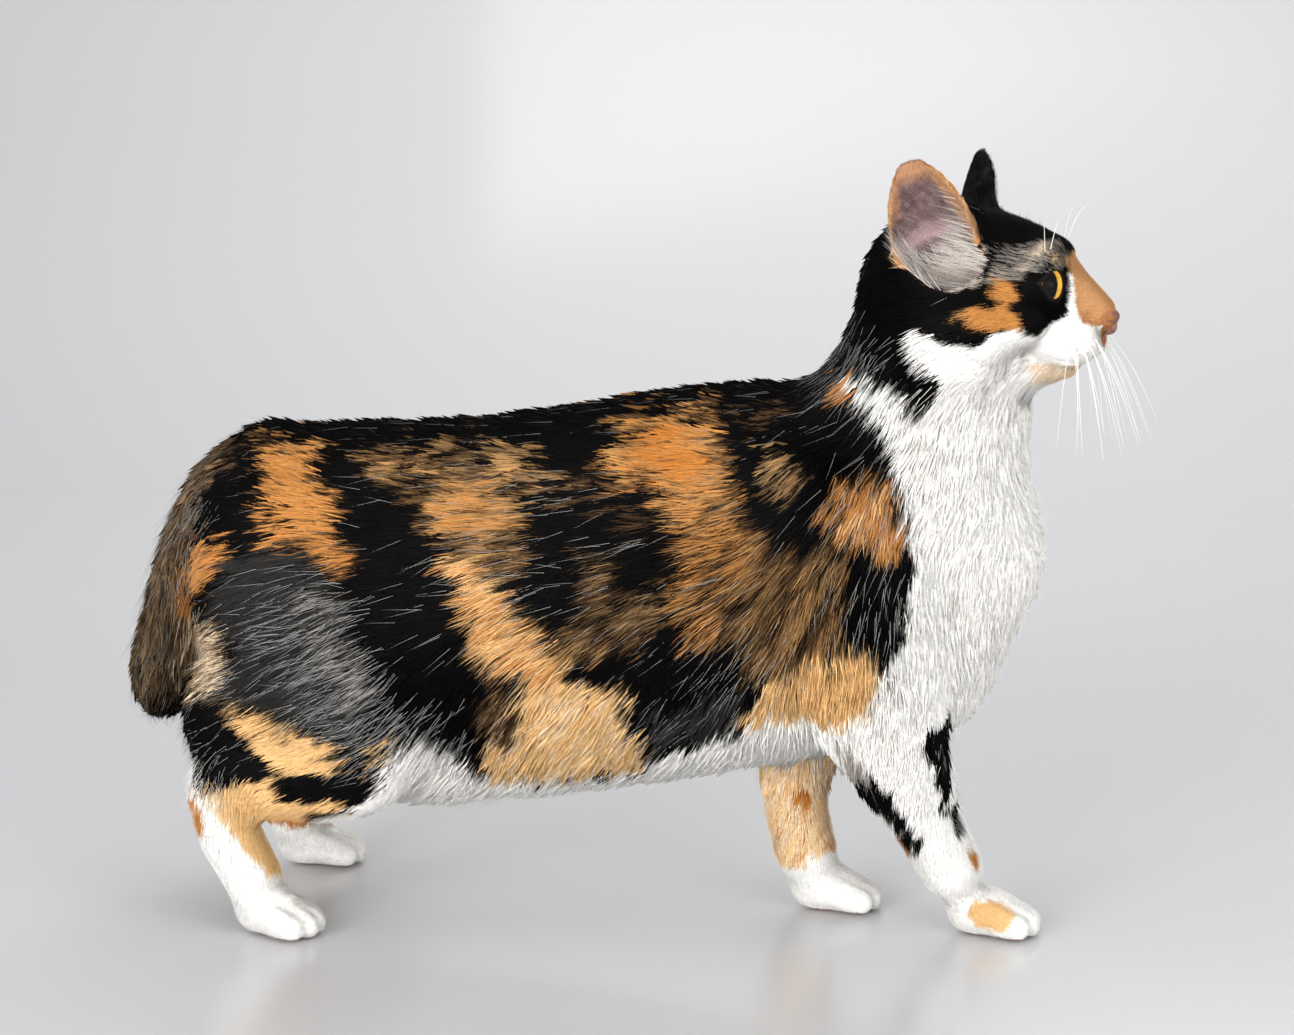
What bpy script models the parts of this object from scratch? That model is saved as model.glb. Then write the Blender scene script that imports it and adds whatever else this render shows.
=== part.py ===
"""A life-size standing calico bobtail cat, in its named body parts, for a museum display.

The body is one smooth solid, modelled as muscles and limbs that melt into each other, then parted
by thin cuts. Design sizes are millimetres, and out to the tips of the coat. +X is forward, +Y is
the cat's left, +Z is up, and the floor is at Z = 0. The finished cat is moved so that the origin is
at the middle of its bounding box's underside.
"""

import math

import bmesh
import bpy
import numpy as np
import openvdb
from mathutils import Matrix, Vector

MILLIMETRE = 0.001

# Driving sizes
COARSE_CELL = 12.0          # first look for the surface
CELL = 2.5                  # grid that the surface is drawn from
SURFACE_TRIANGLES = 5720    # of the whole body, before it is parted
CUT = 0.4                   # gap between neighbouring parts

# Head
HEAD_CENTRE = np.array([150.0, -2.0, 290.0])
HEAD_TURN = math.radians(-12)       # towards the cat's right
EYE_RADIUS = 10.3
EYE_GAP = 0.35
EYE_PLACE = np.array([38.0, 18.0, 2.4])     # from the head's centre, left eye


def turned(yaw=0.0, pitch=0.0, roll=0.0):
    """Columns are the axes of a piece turned by roll, then pitch (nose down), then yaw, in radians."""
    turn = Matrix.Rotation(yaw, 3, "Z") @ Matrix.Rotation(pitch, 3, "Y") @ Matrix.Rotation(roll, 3, "X")
    return np.array(turn)


def ellipse_distance(scaled_length, gradient_length):
    return scaled_length * (scaled_length - 1.0) / np.maximum(gradient_length, 1e-6)


def blob(p, centre, radii, turn=None):
    """Distance to an ellipsoid."""
    q = p - np.asarray(centre, p.dtype)
    if turn is not None:
        q = q @ turn.astype(p.dtype)
    q = q / np.asarray(radii, p.dtype)
    k0 = np.linalg.norm(q, axis=1)
    k1 = np.linalg.norm(q / np.asarray(radii, p.dtype), axis=1)
    return ellipse_distance(k0, k1)


def smooth_stations(stations, between=3):
    """More stations along the same limb, on a smooth curve through the given ones."""
    s = np.array(stations, float)
    ends = np.vstack([2 * s[0] - s[1], s, 2 * s[-1] - s[-2]])
    rows = []
    for i in range(1, len(ends) - 2):
        a, b, c, d = ends[i - 1], ends[i], ends[i + 1], ends[i + 2]
        for t in np.arange(between) / between:
            rows.append(0.5 * (2 * b + (c - a) * t + (2 * a - 5 * b + 4 * c - d) * t**2
                               + (3 * b - a - 3 * c + d) * t**3))
    rows.append(s[-1])
    return np.array(rows)


def limb(p, stations, between=3):
    """Distance to a limb. A station is x, y, z, half depth and half width, and width is across the cat."""
    rows = smooth_stations(stations, between)
    found = None
    for a, b in zip(rows[:-1], rows[1:]):
        start, along = a[:3], b[:3] - a[:3]
        length = np.linalg.norm(along)
        axis = along / length
        side = np.array([0.0, 1.0, 0.0]) - axis * axis[1]
        side /= np.linalg.norm(side)
        q = p - start.astype(p.dtype)
        t = np.clip(q @ (axis / length).astype(p.dtype), 0.0, 1.0)
        q = q - t[:, None] * along.astype(p.dtype)
        across = q @ side.astype(p.dtype)
        rest = np.sqrt(np.maximum((q * q).sum(1) - across**2, 0.0))
        depth = a[3] + (b[3] - a[3]) * t
        width = a[4] + (b[4] - a[4]) * t
        k0 = np.hypot(across / width, rest / depth)
        k1 = np.hypot(across / width**2, rest / depth**2)
        d = ellipse_distance(k0, k1)
        found = d if found is None else np.minimum(found, d)
    return found


def melt(a, b, radius):
    """Smooth union of two distances."""
    h = np.clip(0.5 + 0.5 * (b - a) / radius, 0.0, 1.0)
    return b + (a - b) * h - radius * h * (1.0 - h)


def carve(a, b, radius):
    """a with b taken out of it, smoothly."""
    return -melt(-a, b, radius)


def mirrored(point, side):
    """The point on the cat's left for side 1, or on its right for side -1."""
    x, y, z = point
    return np.array([x, y * side, z])


# Trunk, neck and tail: x, y, z, half depth, half width
TRUNK = (
    (-147, 0, 171, 53, 50),     # pelvis
    (-105, 0, 146, 80, 62),     # loin
    (-62, 0, 140, 88, 71),      # belly
    (-15, 0, 146, 88, 74),      # last rib
    (32, 0, 154, 89, 68),       # girth
    (75, 0, 160, 86, 60),       # withers
    (106, 0, 164, 74, 52),      # shoulder
    (128, 0, 168, 57, 44),      # brisket
)
NECK = (
    (112, 0, 182, 58, 46),
    (132, 0, 224, 50, 41),
    (141, -1, 260, 43, 37),
    (146, -2, 286, 36, 34),
)
TAIL = (
    (-163, 0, 203, 21, 21),
    (-184, 0, 188, 19, 19),
    (-197, 0, 163, 18, 18),
    (-206, 0, 135, 17, 17),
    (-212, 0, 112, 17, 16.5),
    (-213, 0, 101, 16, 16),
)


def trunk(p):
    body = limb(p, TRUNK)
    body = melt(body, blob(p, (-95, 0, 92), (46, 46, 42)), 18)      # belly pouch
    body = melt(body, blob(p, (150, 0, 172), (38, 36, 44)), 14)     # chest ruff
    body = melt(body, blob(p, (145, 0, 128), (24, 34, 40)), 14)     # breast between the legs
    for side in (-1, 1):
        shoulder = blob(p, mirrored((98, 40, 168), side), (36, 22, 62), turned(pitch=math.radians(-14)))
        body = melt(body, shoulder, 16)
        haunch = blob(p, mirrored((-138, 38, 140), side), (50, 28, 62), turned(pitch=math.radians(-10)))
        body = melt(body, haunch, 18)
    return body


# Legs: x, y, z, half depth, half width. The right legs are the ones nearer the photograph's view.
FORE_RIGHT = (
    (112, -36, 150, 34, 22),
    (118, -32, 108, 31, 20),
    (127, -27, 78, 24, 17),
    (140, -22, 50, 17, 14),
    (150, -20, 30, 15, 13.5),
)
FORE_LEFT = (
    (108, 36, 150, 34, 22),
    (90, 30, 108, 29, 20),
    (80, 22, 75, 20, 17),
    (78, 15, 50, 16, 14),
    (83, 11, 28, 15, 13.5),
)
HIND = (
    (-140, 40, 150, 44, 26),
    (-118, 46, 100, 36, 24),
    (-122, 48, 80, 30, 21),
    (-150, 50, 72, 22, 17),
    (-173, 50, 65, 17, 14),
    (-172, 50, 46, 15.5, 13.5),
    (-162, 50, 26, 14, 13.5),
)
TOE_SPREAD = (-9.6, -3.4, 3.4, 9.6)


def paw(p, heel, yaw):
    """A foot with four toes. heel is the middle of the sole's back end."""
    turn = turned(yaw=yaw)
    q = ((p - np.asarray(heel, p.dtype)) @ turn.astype(p.dtype))
    pad = blob(q, (13, 0, 10), (17, 12.5, 12))
    for i, across in enumerate(TOE_SPREAD):
        inner = i in (1, 2)
        reach = 29.0 if inner else 24.5
        toe = limb(q, ((12, across * 0.8, 11.5, 8.0, 6.0), (reach - 4, across, 8.5, 7.8, 6.2),
                       (reach + 3, across * 1.05, 6.0, 6.8, 5.8)), 2)
        pad = melt(pad, toe, 2.5)
    return pad


PAWS = {
    "fore_right": ((152, -20, 0), math.radians(-4)),
    "fore_left": ((80, 10, 0), math.radians(3)),
    "hind_right": ((-166, -50, 0), math.radians(-14)),
    "hind_left": ((-170, 58, 0), math.radians(12)),
}


def hind_stations(side):
    """The left hind leg stands a little further out and further back at the foot."""
    if side < 0:
        return [(x, -y, z, depth, width) for x, y, z, depth, width in HIND]
    return [(x - 3, y + 8 * (1 - z / 150), z, depth, width) for x, y, z, depth, width in HIND]


LEGS = {
    "fore_right": FORE_RIGHT,
    "fore_left": FORE_LEFT,
    "hind_right": hind_stations(-1),
    "hind_left": hind_stations(1),
}


BREECHES = {"hind_right": (-168, -46, 98), "hind_left": (-170, 50, 98)}


def leg(p, name):
    heel, yaw = PAWS[name]
    whole = melt(limb(p, LEGS[name]), paw(p, heel, yaw), 8)
    if name in BREECHES:
        whole = melt(whole, blob(p, BREECHES[name], (25, 18, 32)), 10)
    return whole


def head(p):
    """The head in its own axes, from the middle of the skull."""
    skull = blob(p, (-3, 0, 1), (40, 35, 33))
    skull = melt(skull, blob(p, (22, 0, 6), (27, 25, 23.5)), 10)
    for side in (-1, 1):
        skull = melt(skull, blob(p, (4, 22 * side, -16), (28, 19, 25)), 10)        # cheek
        skull = melt(skull, blob(p, (31, 20 * side, -13), (14, 11, 12)), 8)        # cheekbone
        skull = melt(skull, blob(p, (35, 13 * side, 14), (13, 9.5, 8)), 6)         # brow
        skull = melt(skull, blob(p, (34, 17 * side, 2.4), (14, 12.5, 12)), 7)        # orbit
    bridge = limb(p, ((40, 0, 7.5, 10.8, 10), (53, 0, -2, 8.2, 8.5), (62, 0, -9.5, 6.7, 7.2)), 2)
    skull = melt(skull, bridge, 8)
    skull = melt(skull, blob(p, (44, 0, -16), (19, 16, 14)), 8)                    # muzzle
    for side in (-1, 1):
        skull = melt(skull, blob(p, (50, 9 * side, -23.5), (14.5, 11.5, 10.5)), 5)  # whisker pad
    skull = melt(skull, blob(p, (63, 0, -13), (7, 6.8, 5.5)), 3)                   # nose
    jaw = limb(p, ((8, 0, -30, 15, 22), (32, 0, -33, 11, 16), (46, 0, -33.5, 7.6, 9.5)), 2)
    skull = melt(skull, jaw, 6)
    return skull


def ear(p):
    """A cupped ear in its own axes: X across, Y out of the opening, Z up to the tip."""
    q = p[:, [1, 0, 2]]
    outside = limb(q, (
        (-2.0, 0, -12, 13, 18),
        (-2.0, 0, 3, 12.5, 19.5),
        (-3.0, 0, 17, 10, 17.5),
        (-4.5, 0, 30, 6.5, 12.5),
        (-5.5, 0, 38, 3.8, 7),
    ), 2)
    hollow = limb(q, (
        (5.0, 0, 0, 10, 12),
        (4.5, 0, 6, 12.5, 16),
        (3.5, 0, 17, 11, 15),
        (1.5, 0, 30, 8, 10.5),
        (-0.5, 0, 40, 5, 6),
    ), 2)
    return carve(outside, hollow, 1.5)


EARS = {
    # base from the head's centre, then turns: round the upright, tip across the opening, tip along the opening
    "ear_right": ((-4.5, -26, 17.8), math.radians(-168), math.radians(19), math.radians(-24)),
    "ear_left": ((5, 24, 19), math.radians(-60), math.radians(-29), math.radians(-14)),
}


def ear_turn(name):
    _, yaw, pitch, roll = EARS[name]
    return turned(yaw=yaw, pitch=pitch, roll=roll)


def head_space(p):
    return (p - HEAD_CENTRE.astype(p.dtype)) @ turned(yaw=HEAD_TURN).astype(p.dtype)


def ear_space(q, name):
    base = np.asarray(EARS[name][0], q.dtype)
    return (q - base) @ ear_turn(name).astype(q.dtype)


def within(p, low, high, shape):
    """shape(points) near the box from low to high, and the distance to the box further away."""
    low, high = np.asarray(low, p.dtype), np.asarray(high, p.dtype)
    away = np.linalg.norm(np.maximum(np.maximum(low - p, p - high), 0.0), axis=1) + 1.0
    near = away < 36.0
    away[near] = shape(p[near])
    return away


NECK_BOX = ((50, -60, 100), (200, 60, 330))
HEAD_BOX = ((95, -60, 235), (230, 50, 360))
EAR_BOX = ((95, -95, 285), (200, 80, 365))
TAIL_BOX = ((-240, -30, 70), (-120, 30, 240))
LEG_BOXES = {
    "fore_right": ((70, -70, -5), (200, 10, 200)),
    "fore_left": ((50, -15, -5), (150, 70, 200)),
    "hind_right": ((-200, -90, -5), (-60, -10, 210)),
    "hind_left": ((-200, 10, -5), (-60, 95, 210)),
}


def body(p):
    """Distance to the whole cat's coat, without its eyes."""
    p = p.astype(np.float32)
    torso = trunk(p)
    torso = melt(torso, within(p, *NECK_BOX, lambda q: limb(q, NECK)), 16)
    torso = melt(torso, within(p, *HEAD_BOX, lambda q: head(head_space(q))), 14)
    for name in EARS:
        torso = melt(torso, within(p, *EAR_BOX, lambda q: ear(ear_space(head_space(q), name))), 5)
    whole = melt(torso, within(p, *TAIL_BOX, lambda q: limb(q, TAIL)), 8)
    for name, box in LEG_BOXES.items():
        stem = within(p, *box, lambda q: leg(q, name))
        whole = np.minimum(whole, melt(torso, stem, 12))
    return whole


def axis_grid(low, high, cell):
    return np.linspace(low, high, int(round((high - low) / cell)) + 1, dtype=np.float32)


def surface(distance, low, high, cell):
    """Points and faces of the surface where distance is nought.

    The distance is found on a coarse grid first, and again on the fine one near the surface.
    """
    grids = [axis_grid(a, b, cell) for a, b in zip(low, high)]
    every = int(round(COARSE_CELL / cell))
    coarse_axes = [np.append(g[::every], g[-1]) for g in grids]
    shape = [len(g) for g in grids]
    coarse = np.stack(np.meshgrid(*coarse_axes, indexing="ij"), -1).reshape(-1, 3)
    rough = distance(coarse).reshape([len(g) for g in coarse_axes])
    index = [np.minimum(np.round(np.arange(n) / every).astype(int), len(c) - 1) for n, c in zip(shape, coarse_axes)]
    values = rough[np.ix_(*index)].astype(np.float32)
    near = np.abs(values) < 1.6 * COARSE_CELL
    where = np.argwhere(near)
    points = np.stack([g[where[:, i]] for i, g in enumerate(grids)], -1)
    fine = np.concatenate([distance(part) for part in np.array_split(points, max(1, len(points) // 200000))])
    values[near] = fine
    band = 3.0 * cell
    volume = openvdb.FloatGrid(background=band)
    volume.copyFromArray(np.clip(values, -band, band))
    corners, _, quads = volume.convertToPolygons(isovalue=0.0, adaptivity=0.0)
    steps = [(g[-1] - g[0]) / (len(g) - 1) for g in grids]
    corners = corners * np.array(steps) + np.array([g[0] for g in grids])
    return corners, quads[:, ::-1]


def coloured(name, colour, roughness):
    material = bpy.data.materials.new(name)
    material.use_nodes = True
    shader = material.node_tree.nodes["Principled BSDF"]
    shader.inputs["Base Color"].default_value = (*colour, 1.0)
    shader.inputs["Roughness"].default_value = roughness
    return material


def mesh_object(name, corners, faces):
    mesh = bpy.data.meshes.new(name)
    mesh.from_pydata([tuple(c) for c in corners], [], [tuple(f) for f in faces])
    mesh.update()
    thing = bpy.data.objects.new(name, mesh)
    bpy.context.scene.collection.objects.link(thing)
    return thing


def evaluated(thing):
    graph = bpy.context.evaluated_depsgraph_get()
    graph.update()
    return bpy.data.meshes.new_from_object(thing.evaluated_get(graph))


def thinned(thing, triangles):
    """The same surface with about that many triangles."""
    thin = thing.modifiers.new("thin", "DECIMATE")
    thin.ratio = triangles / (2 * len(thing.data.polygons))
    thin.use_collapse_triangulate = True
    thing.data = evaluated(thing)
    thing.modifiers.clear()


def combined(thing, cutter, operation, name):
    """A new object: thing with the cutter taken out, or their common part."""
    made = bpy.data.objects.new(name, thing.data)
    bpy.context.scene.collection.objects.link(made)
    join = made.modifiers.new("join", "BOOLEAN")
    join.operation = operation
    join.object = cutter
    join.solver = "EXACT"
    made.data = evaluated(made)
    made.modifiers.clear()
    return made


def prism(profile, low, high, grow=0.0):
    """A cutter: an outline in X and Z, anticlockwise seen from the cat's right, drawn through low to high in Y."""
    n = len(profile)
    grown = []
    for i, (x, z) in enumerate(profile):
        before, after = profile[i - 1], profile[(i + 1) % n]
        first = np.array([z - before[1], before[0] - x], float)
        second = np.array([after[1] - z, x - after[0]], float)
        first /= np.linalg.norm(first)
        second /= np.linalg.norm(second)
        out = (first + second) / (1.0 + first @ second)
        grown.append((x + grow * out[0], z + grow * out[1]))
    corners = [(x * MILLIMETRE, (low - grow) * MILLIMETRE, z * MILLIMETRE) for x, z in grown]
    corners += [(x * MILLIMETRE, (high + grow) * MILLIMETRE, z * MILLIMETRE) for x, z in grown]
    faces = [tuple(range(n)), tuple(range(2 * n - 1, n - 1, -1))]
    faces += [(i, i + n, (i + 1) % n + n, (i + 1) % n) for i in range(n)]
    return mesh_object("cutter", corners, faces)


def box_in(axes, origin, low, high, grow=0.0):
    """A cutter: a box along turned axes."""
    low, high = np.array(low, float) - grow, np.array(high, float) + grow
    corners = []
    for x in (low[0], high[0]):
        for y in (low[1], high[1]):
            for z in (low[2], high[2]):
                corners.append((origin + axes @ np.array([x, y, z])) * MILLIMETRE)
    faces = [(0, 1, 3, 2), (4, 6, 7, 5), (0, 4, 5, 1), (2, 3, 7, 6), (0, 2, 6, 4), (1, 5, 7, 3)]
    return mesh_object("cutter", corners, faces)


def discarded(*things):
    for thing in things:
        bpy.data.objects.remove(thing)


def parted(thing, make_cutter, name):
    """Takes the part inside the cutter off thing. Returns what is left and the part, with a gap between."""
    inner, outer = make_cutter(0.0), make_cutter(CUT)
    piece = combined(thing, inner, "INTERSECT", name)
    rest = combined(thing, outer, "DIFFERENCE", thing.name)
    discarded(inner, outer, thing)
    return rest, piece


# Where the parts meet, as outlines in X and Z
HEAD_CUT = ((102, 303), (186, 240), (300, 240), (300, 420), (102, 420))
NECK_CUT = ((70, 258), (200, 184), (300, 184), (300, 420), (70, 420))
TAIL_CUT = ((-203, 60), (-201, 160), (-190, 192), (-166, 240), (-290, 240), (-290, 60))
HIND_CUT = ((-260, -20), (-80, -20), (-80, 70), (-110, 104), (-196, 112), (-260, 112))
FORE_RIGHT_CUT = ((130, -20), (260, -20), (260, 98), (86, 98), (94, 62), (122, 40))
FORE_LEFT_CUT = ((20, -20), (125, -20), (122, 38), (108, 62), (116, 94), (52, 90))
PAW_TOP = 23.0

COATS = {
    "head": (0.030, 0.024, 0.020),
    "neck": (0.70, 0.66, 0.60),
    "trunk": (0.028, 0.022, 0.018),
    "tail": (0.060, 0.038, 0.022),
    "ear_left": (0.035, 0.027, 0.022),
    "ear_right": (0.33, 0.16, 0.07),
    "fore_leg_left": (0.58, 0.33, 0.14),
    "fore_leg_right": (0.72, 0.69, 0.64),
    "fore_paw_left": (0.74, 0.71, 0.67),
    "fore_paw_right": (0.74, 0.71, 0.66),
    "hind_leg_left": (0.35, 0.18, 0.07),
    "hind_leg_right": (0.40, 0.21, 0.09),
    "hind_paw_left": (0.73, 0.70, 0.65),
    "hind_paw_right": (0.73, 0.70, 0.66),
    "nose": (0.30, 0.12, 0.08),
}


def build_body():
    """The whole coat as one solid, standing on the floor, then parted into its named pieces."""
    corners, faces = surface(body, (-250, -100, -10), (235, 100, 365), CELL)
    trunk_piece = mesh_object("trunk", corners * MILLIMETRE, faces)
    thinned(trunk_piece, SURFACE_TRIANGLES)
    ground = box_in(np.eye(3), np.zeros(3), (-400, -400, -100), (400, 400, 0))
    standing = combined(trunk_piece, ground, "DIFFERENCE", "trunk")
    discarded(trunk_piece, ground)

    pieces = {}
    rest, head_piece = parted(standing, lambda g: prism(HEAD_CUT, -150, 150, g), "head")
    rest, pieces["neck"] = parted(rest, lambda g: prism(NECK_CUT, -150, 150, g), "neck")
    rest, pieces["tail"] = parted(rest, lambda g: prism(TAIL_CUT, -24, 24, g), "tail")
    leg_cuts = {
        "hind_right": (HIND_CUT, -130, -24),
        "hind_left": (HIND_CUT, 24, 130),
        "fore_right": (FORE_RIGHT_CUT, -120, -5.2),
        "fore_left": (FORE_LEFT_CUT, -4.8, 120),
    }
    for name, (outline, low, high) in leg_cuts.items():
        fore, side = name.split("_")
        rest, whole_leg = parted(rest, lambda g: prism(outline, low, high, g), f"{fore}_leg_{side}")
        foot = lambda g: box_in(np.eye(3), np.zeros(3), (-400, -400, -50), (400, 400, PAW_TOP), g)
        upper, lower = parted(whole_leg, foot, f"{fore}_paw_{side}")
        pieces[f"{fore}_leg_{side}"] = upper
        pieces[f"{fore}_paw_{side}"] = lower
    pieces["trunk"] = rest

    head_axes = turned(yaw=HEAD_TURN)
    for name in EARS:
        axes = head_axes @ ear_turn(name)
        base = HEAD_CENTRE + head_axes @ np.array(EARS[name][0], float)
        cut = lambda g: box_in(axes, base, (-34, -24, 5), (34, 26, 70), g)
        head_piece, pieces[name] = parted(head_piece, cut, name)
    nose_cut = lambda g: box_in(head_axes, HEAD_CENTRE, (64, -8.5, -20), (90, 8.5, -3), g)
    head_piece, pieces["nose"] = parted(head_piece, nose_cut, "nose")
    for side, name in ((-1, "eye_right"), (1, "eye_left")):
        place = HEAD_CENTRE + head_axes @ mirrored(EYE_PLACE, side)
        socket = ball("socket", place, EYE_RADIUS + EYE_GAP)
        open_head = combined(head_piece, socket, "DIFFERENCE", "head")
        discarded(head_piece, socket)
        head_piece = open_head
        pieces[name] = ball(name, place, EYE_RADIUS)
    pieces["head"] = head_piece
    return pieces


def ball(name, place, radius):
    shape = bmesh.new()
    bmesh.ops.create_uvsphere(shape, u_segments=16, v_segments=9, radius=radius * MILLIMETRE)
    bmesh.ops.triangulate(shape, faces=shape.faces)
    bmesh.ops.translate(shape, verts=shape.verts, vec=Vector(place * MILLIMETRE))
    mesh = bpy.data.meshes.new(name)
    shape.to_mesh(mesh)
    shape.free()
    thing = bpy.data.objects.new(name, mesh)
    bpy.context.scene.collection.objects.link(thing)
    return thing


def largest_body(mesh):
    """Welds the mesh, keeps its largest connected shell and turns its faces outwards."""
    shape = bmesh.new()
    shape.from_mesh(mesh)
    bmesh.ops.remove_doubles(shape, verts=shape.verts, dist=2e-5)
    bmesh.ops.dissolve_degenerate(shape, edges=shape.edges, dist=1e-5)
    bmesh.ops.triangulate(shape, faces=shape.faces)
    left = set(shape.verts)
    shells = []
    while left:
        stack = [left.pop()]
        shell = set(stack)
        while stack:
            for edge in stack.pop().link_edges:
                for corner in edge.verts:
                    if corner in left:
                        left.discard(corner)
                        shell.add(corner)
                        stack.append(corner)
        shells.append(shell)
    shells.sort(key=len)
    for shell in shells[:-1]:
        bmesh.ops.delete(shape, geom=list(shell), context="VERTS")
    bmesh.ops.recalc_face_normals(shape, faces=shape.faces)
    shape.to_mesh(mesh)
    shape.free()
    mesh.update()


def move_origin(pieces):
    """Moves the cat so that the origin is under the middle of its bounding box."""
    corners = np.array([tuple(v.co) for piece in pieces.values() for v in piece.data.vertices])
    middle = (corners.min(0) + corners.max(0)) / 2
    for piece in pieces.values():
        piece.data.transform(Matrix.Translation((-middle[0], -middle[1], 0.0)))


def main():
    for thing in list(bpy.data.objects):
        bpy.data.objects.remove(thing)
    pieces = build_body()
    move_origin(pieces)
    for name, piece in pieces.items():
        piece.name = name
        piece.data.name = name
        largest_body(piece.data)
        piece.data.materials.clear()
        if name.startswith("eye"):
            material = coloured(f"{name}_glass", (0.45, 0.23, 0.03), 0.1)
        elif name == "nose":
            material = coloured("nose_leather", COATS[name], 0.5)
        else:
            material = coloured(f"{name}_fur", COATS[name], 0.9)
        piece.data.materials.append(material)


main()
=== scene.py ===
"""Looks of a life-size calico bobtail cat: one skin, a coat of mesh tufts, eyes, nose and whiskers.

The skin and the coat follow the same muscles and limbs as the solids. Their sizes are millimetres in the
cat's own design frame, and are turned to metres in the row's frame when a mesh is made. +X is forward,
+Y is the cat's left and the floor is at Z = 0. Head sizes are measured from the middle of the skull.
"""

import math
from functools import reduce

import bmesh
import bpy
import numpy as np
import openvdb
from mathutils import Matrix, Vector


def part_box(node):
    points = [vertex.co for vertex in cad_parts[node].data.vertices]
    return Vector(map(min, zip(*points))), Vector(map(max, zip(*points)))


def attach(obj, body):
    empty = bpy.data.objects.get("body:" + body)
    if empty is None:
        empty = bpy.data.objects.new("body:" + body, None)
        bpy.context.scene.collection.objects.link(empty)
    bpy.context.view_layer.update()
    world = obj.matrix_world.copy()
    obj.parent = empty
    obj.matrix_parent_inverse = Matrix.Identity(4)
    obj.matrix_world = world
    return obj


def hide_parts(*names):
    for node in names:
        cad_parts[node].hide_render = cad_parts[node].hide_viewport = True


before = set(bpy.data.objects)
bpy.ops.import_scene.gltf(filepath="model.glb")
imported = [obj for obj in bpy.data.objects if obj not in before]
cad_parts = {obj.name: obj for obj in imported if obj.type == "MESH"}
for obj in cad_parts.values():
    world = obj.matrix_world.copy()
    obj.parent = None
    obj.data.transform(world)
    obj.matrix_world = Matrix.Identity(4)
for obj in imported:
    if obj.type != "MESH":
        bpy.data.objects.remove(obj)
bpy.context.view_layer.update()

MILLIMETRE = 0.001
HEAD_CENTRE = np.array([150.0, -2.0, 290.0])
HEAD_TURN = math.radians(-12)
EYE_RADIUS = 10.3
EYE_PLACE = np.array([38.0, 18.0, 2.4])


def lengths(vectors):
    return np.linalg.norm(vectors, axis=1)


def unit(vectors):
    return vectors / np.maximum(lengths(vectors), 1e-9)[:, None]


def nearest(distances):
    return reduce(np.minimum, distances)


def looked_up(x, table):
    """Values at x between a table's rows, which hold x and value."""
    return np.interp(x, *zip(*table))


def turned(yaw=0.0, pitch=0.0, roll=0.0):
    turn = Matrix.Rotation(yaw, 3, "Z") @ Matrix.Rotation(pitch, 3, "Y") @ Matrix.Rotation(roll, 3, "X")
    return np.array(turn)


HEAD_AXES = turned(yaw=HEAD_TURN)


def mirrored(point, side):
    x, y, z = point
    return np.array([x, y * side, z])


def on_head(point):
    """From the head's axes to the design frame."""
    return HEAD_CENTRE + HEAD_AXES @ point


def eye_centre(side):
    return on_head(mirrored(EYE_PLACE, side))


def row_shift():
    """From the design frame to the row's, read from where the right eye's solid sits."""
    low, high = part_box("eye_right")
    middle = (np.array(low) + np.array(high)) / 2 / MILLIMETRE
    shift = middle - eye_centre(-1)
    return np.array([shift[0], shift[1], 0.0])


SHIFT = row_shift()


def to_row(points):
    return (points + SHIFT) * MILLIMETRE


# Shapes as distances


def ellipse_distance(scaled_length, gradient_length):
    return scaled_length * (scaled_length - 1.0) / np.maximum(gradient_length, 1e-6)


def blob(p, centre, radii, turn=None):
    """Distance to an ellipsoid."""
    q = p - np.asarray(centre, p.dtype)
    if turn is not None:
        q = q @ turn.astype(p.dtype)
    q = q / np.asarray(radii, p.dtype)
    return ellipse_distance(lengths(q), lengths(q / np.asarray(radii, p.dtype)))


def smooth_stations(stations, between=3):
    s = np.array(stations, float)
    ends = np.vstack([2 * s[0] - s[1], s, 2 * s[-1] - s[-2]])
    rows = []
    for i in range(1, len(ends) - 2):
        a, b, c, d = ends[i - 1], ends[i], ends[i + 1], ends[i + 2]
        for t in np.arange(between) / between:
            rows.append(0.5 * (2 * b + (c - a) * t + (2 * a - 5 * b + 4 * c - d) * t**2
                               + (3 * b - a - 3 * c + d) * t**3))
    rows.append(s[-1])
    return np.array(rows)


def limb_length(p, a, b):
    """Distance to the length of a limb between two stations."""
    start, along = a[:3], b[:3] - a[:3]
    length = np.linalg.norm(along)
    axis = along / length
    side = np.array([0.0, 1.0, 0.0]) - axis * axis[1]
    side /= np.linalg.norm(side)
    q = p - start.astype(p.dtype)
    t = np.clip(q @ (axis / length).astype(p.dtype), 0.0, 1.0)
    q = q - t[:, None] * along.astype(p.dtype)
    across = q @ side.astype(p.dtype)
    rest = np.sqrt(np.maximum((q * q).sum(1) - across**2, 0.0))
    depth = a[3] + (b[3] - a[3]) * t
    width = a[4] + (b[4] - a[4]) * t
    slope = np.hypot(across / width**2, rest / depth**2)
    return ellipse_distance(np.hypot(across / width, rest / depth), slope)


def limb(p, stations, between=3):
    """Distance to a limb. A station is x, y, z, half depth and half width, and width is across the cat."""
    rows = smooth_stations(stations, between)
    return nearest(limb_length(p, a, b) for a, b in zip(rows[:-1], rows[1:]))


def melt(a, b, radius):
    h = np.clip(0.5 + 0.5 * (b - a) / radius, 0.0, 1.0)
    return b + (a - b) * h - radius * h * (1.0 - h)


def carve(a, b, radius):
    return -melt(-a, b, radius)


NEAR = 36.0


def within(p, low, high, shape):
    """shape(points) near the box from low to high, and the distance to the box further away."""
    low, high = np.asarray(low, p.dtype), np.asarray(high, p.dtype)
    away = lengths(np.maximum(np.maximum(low - p, p - high), 0.0)) + 1.0
    near = away < NEAR
    away[near] = shape(p[near])
    return away


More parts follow.
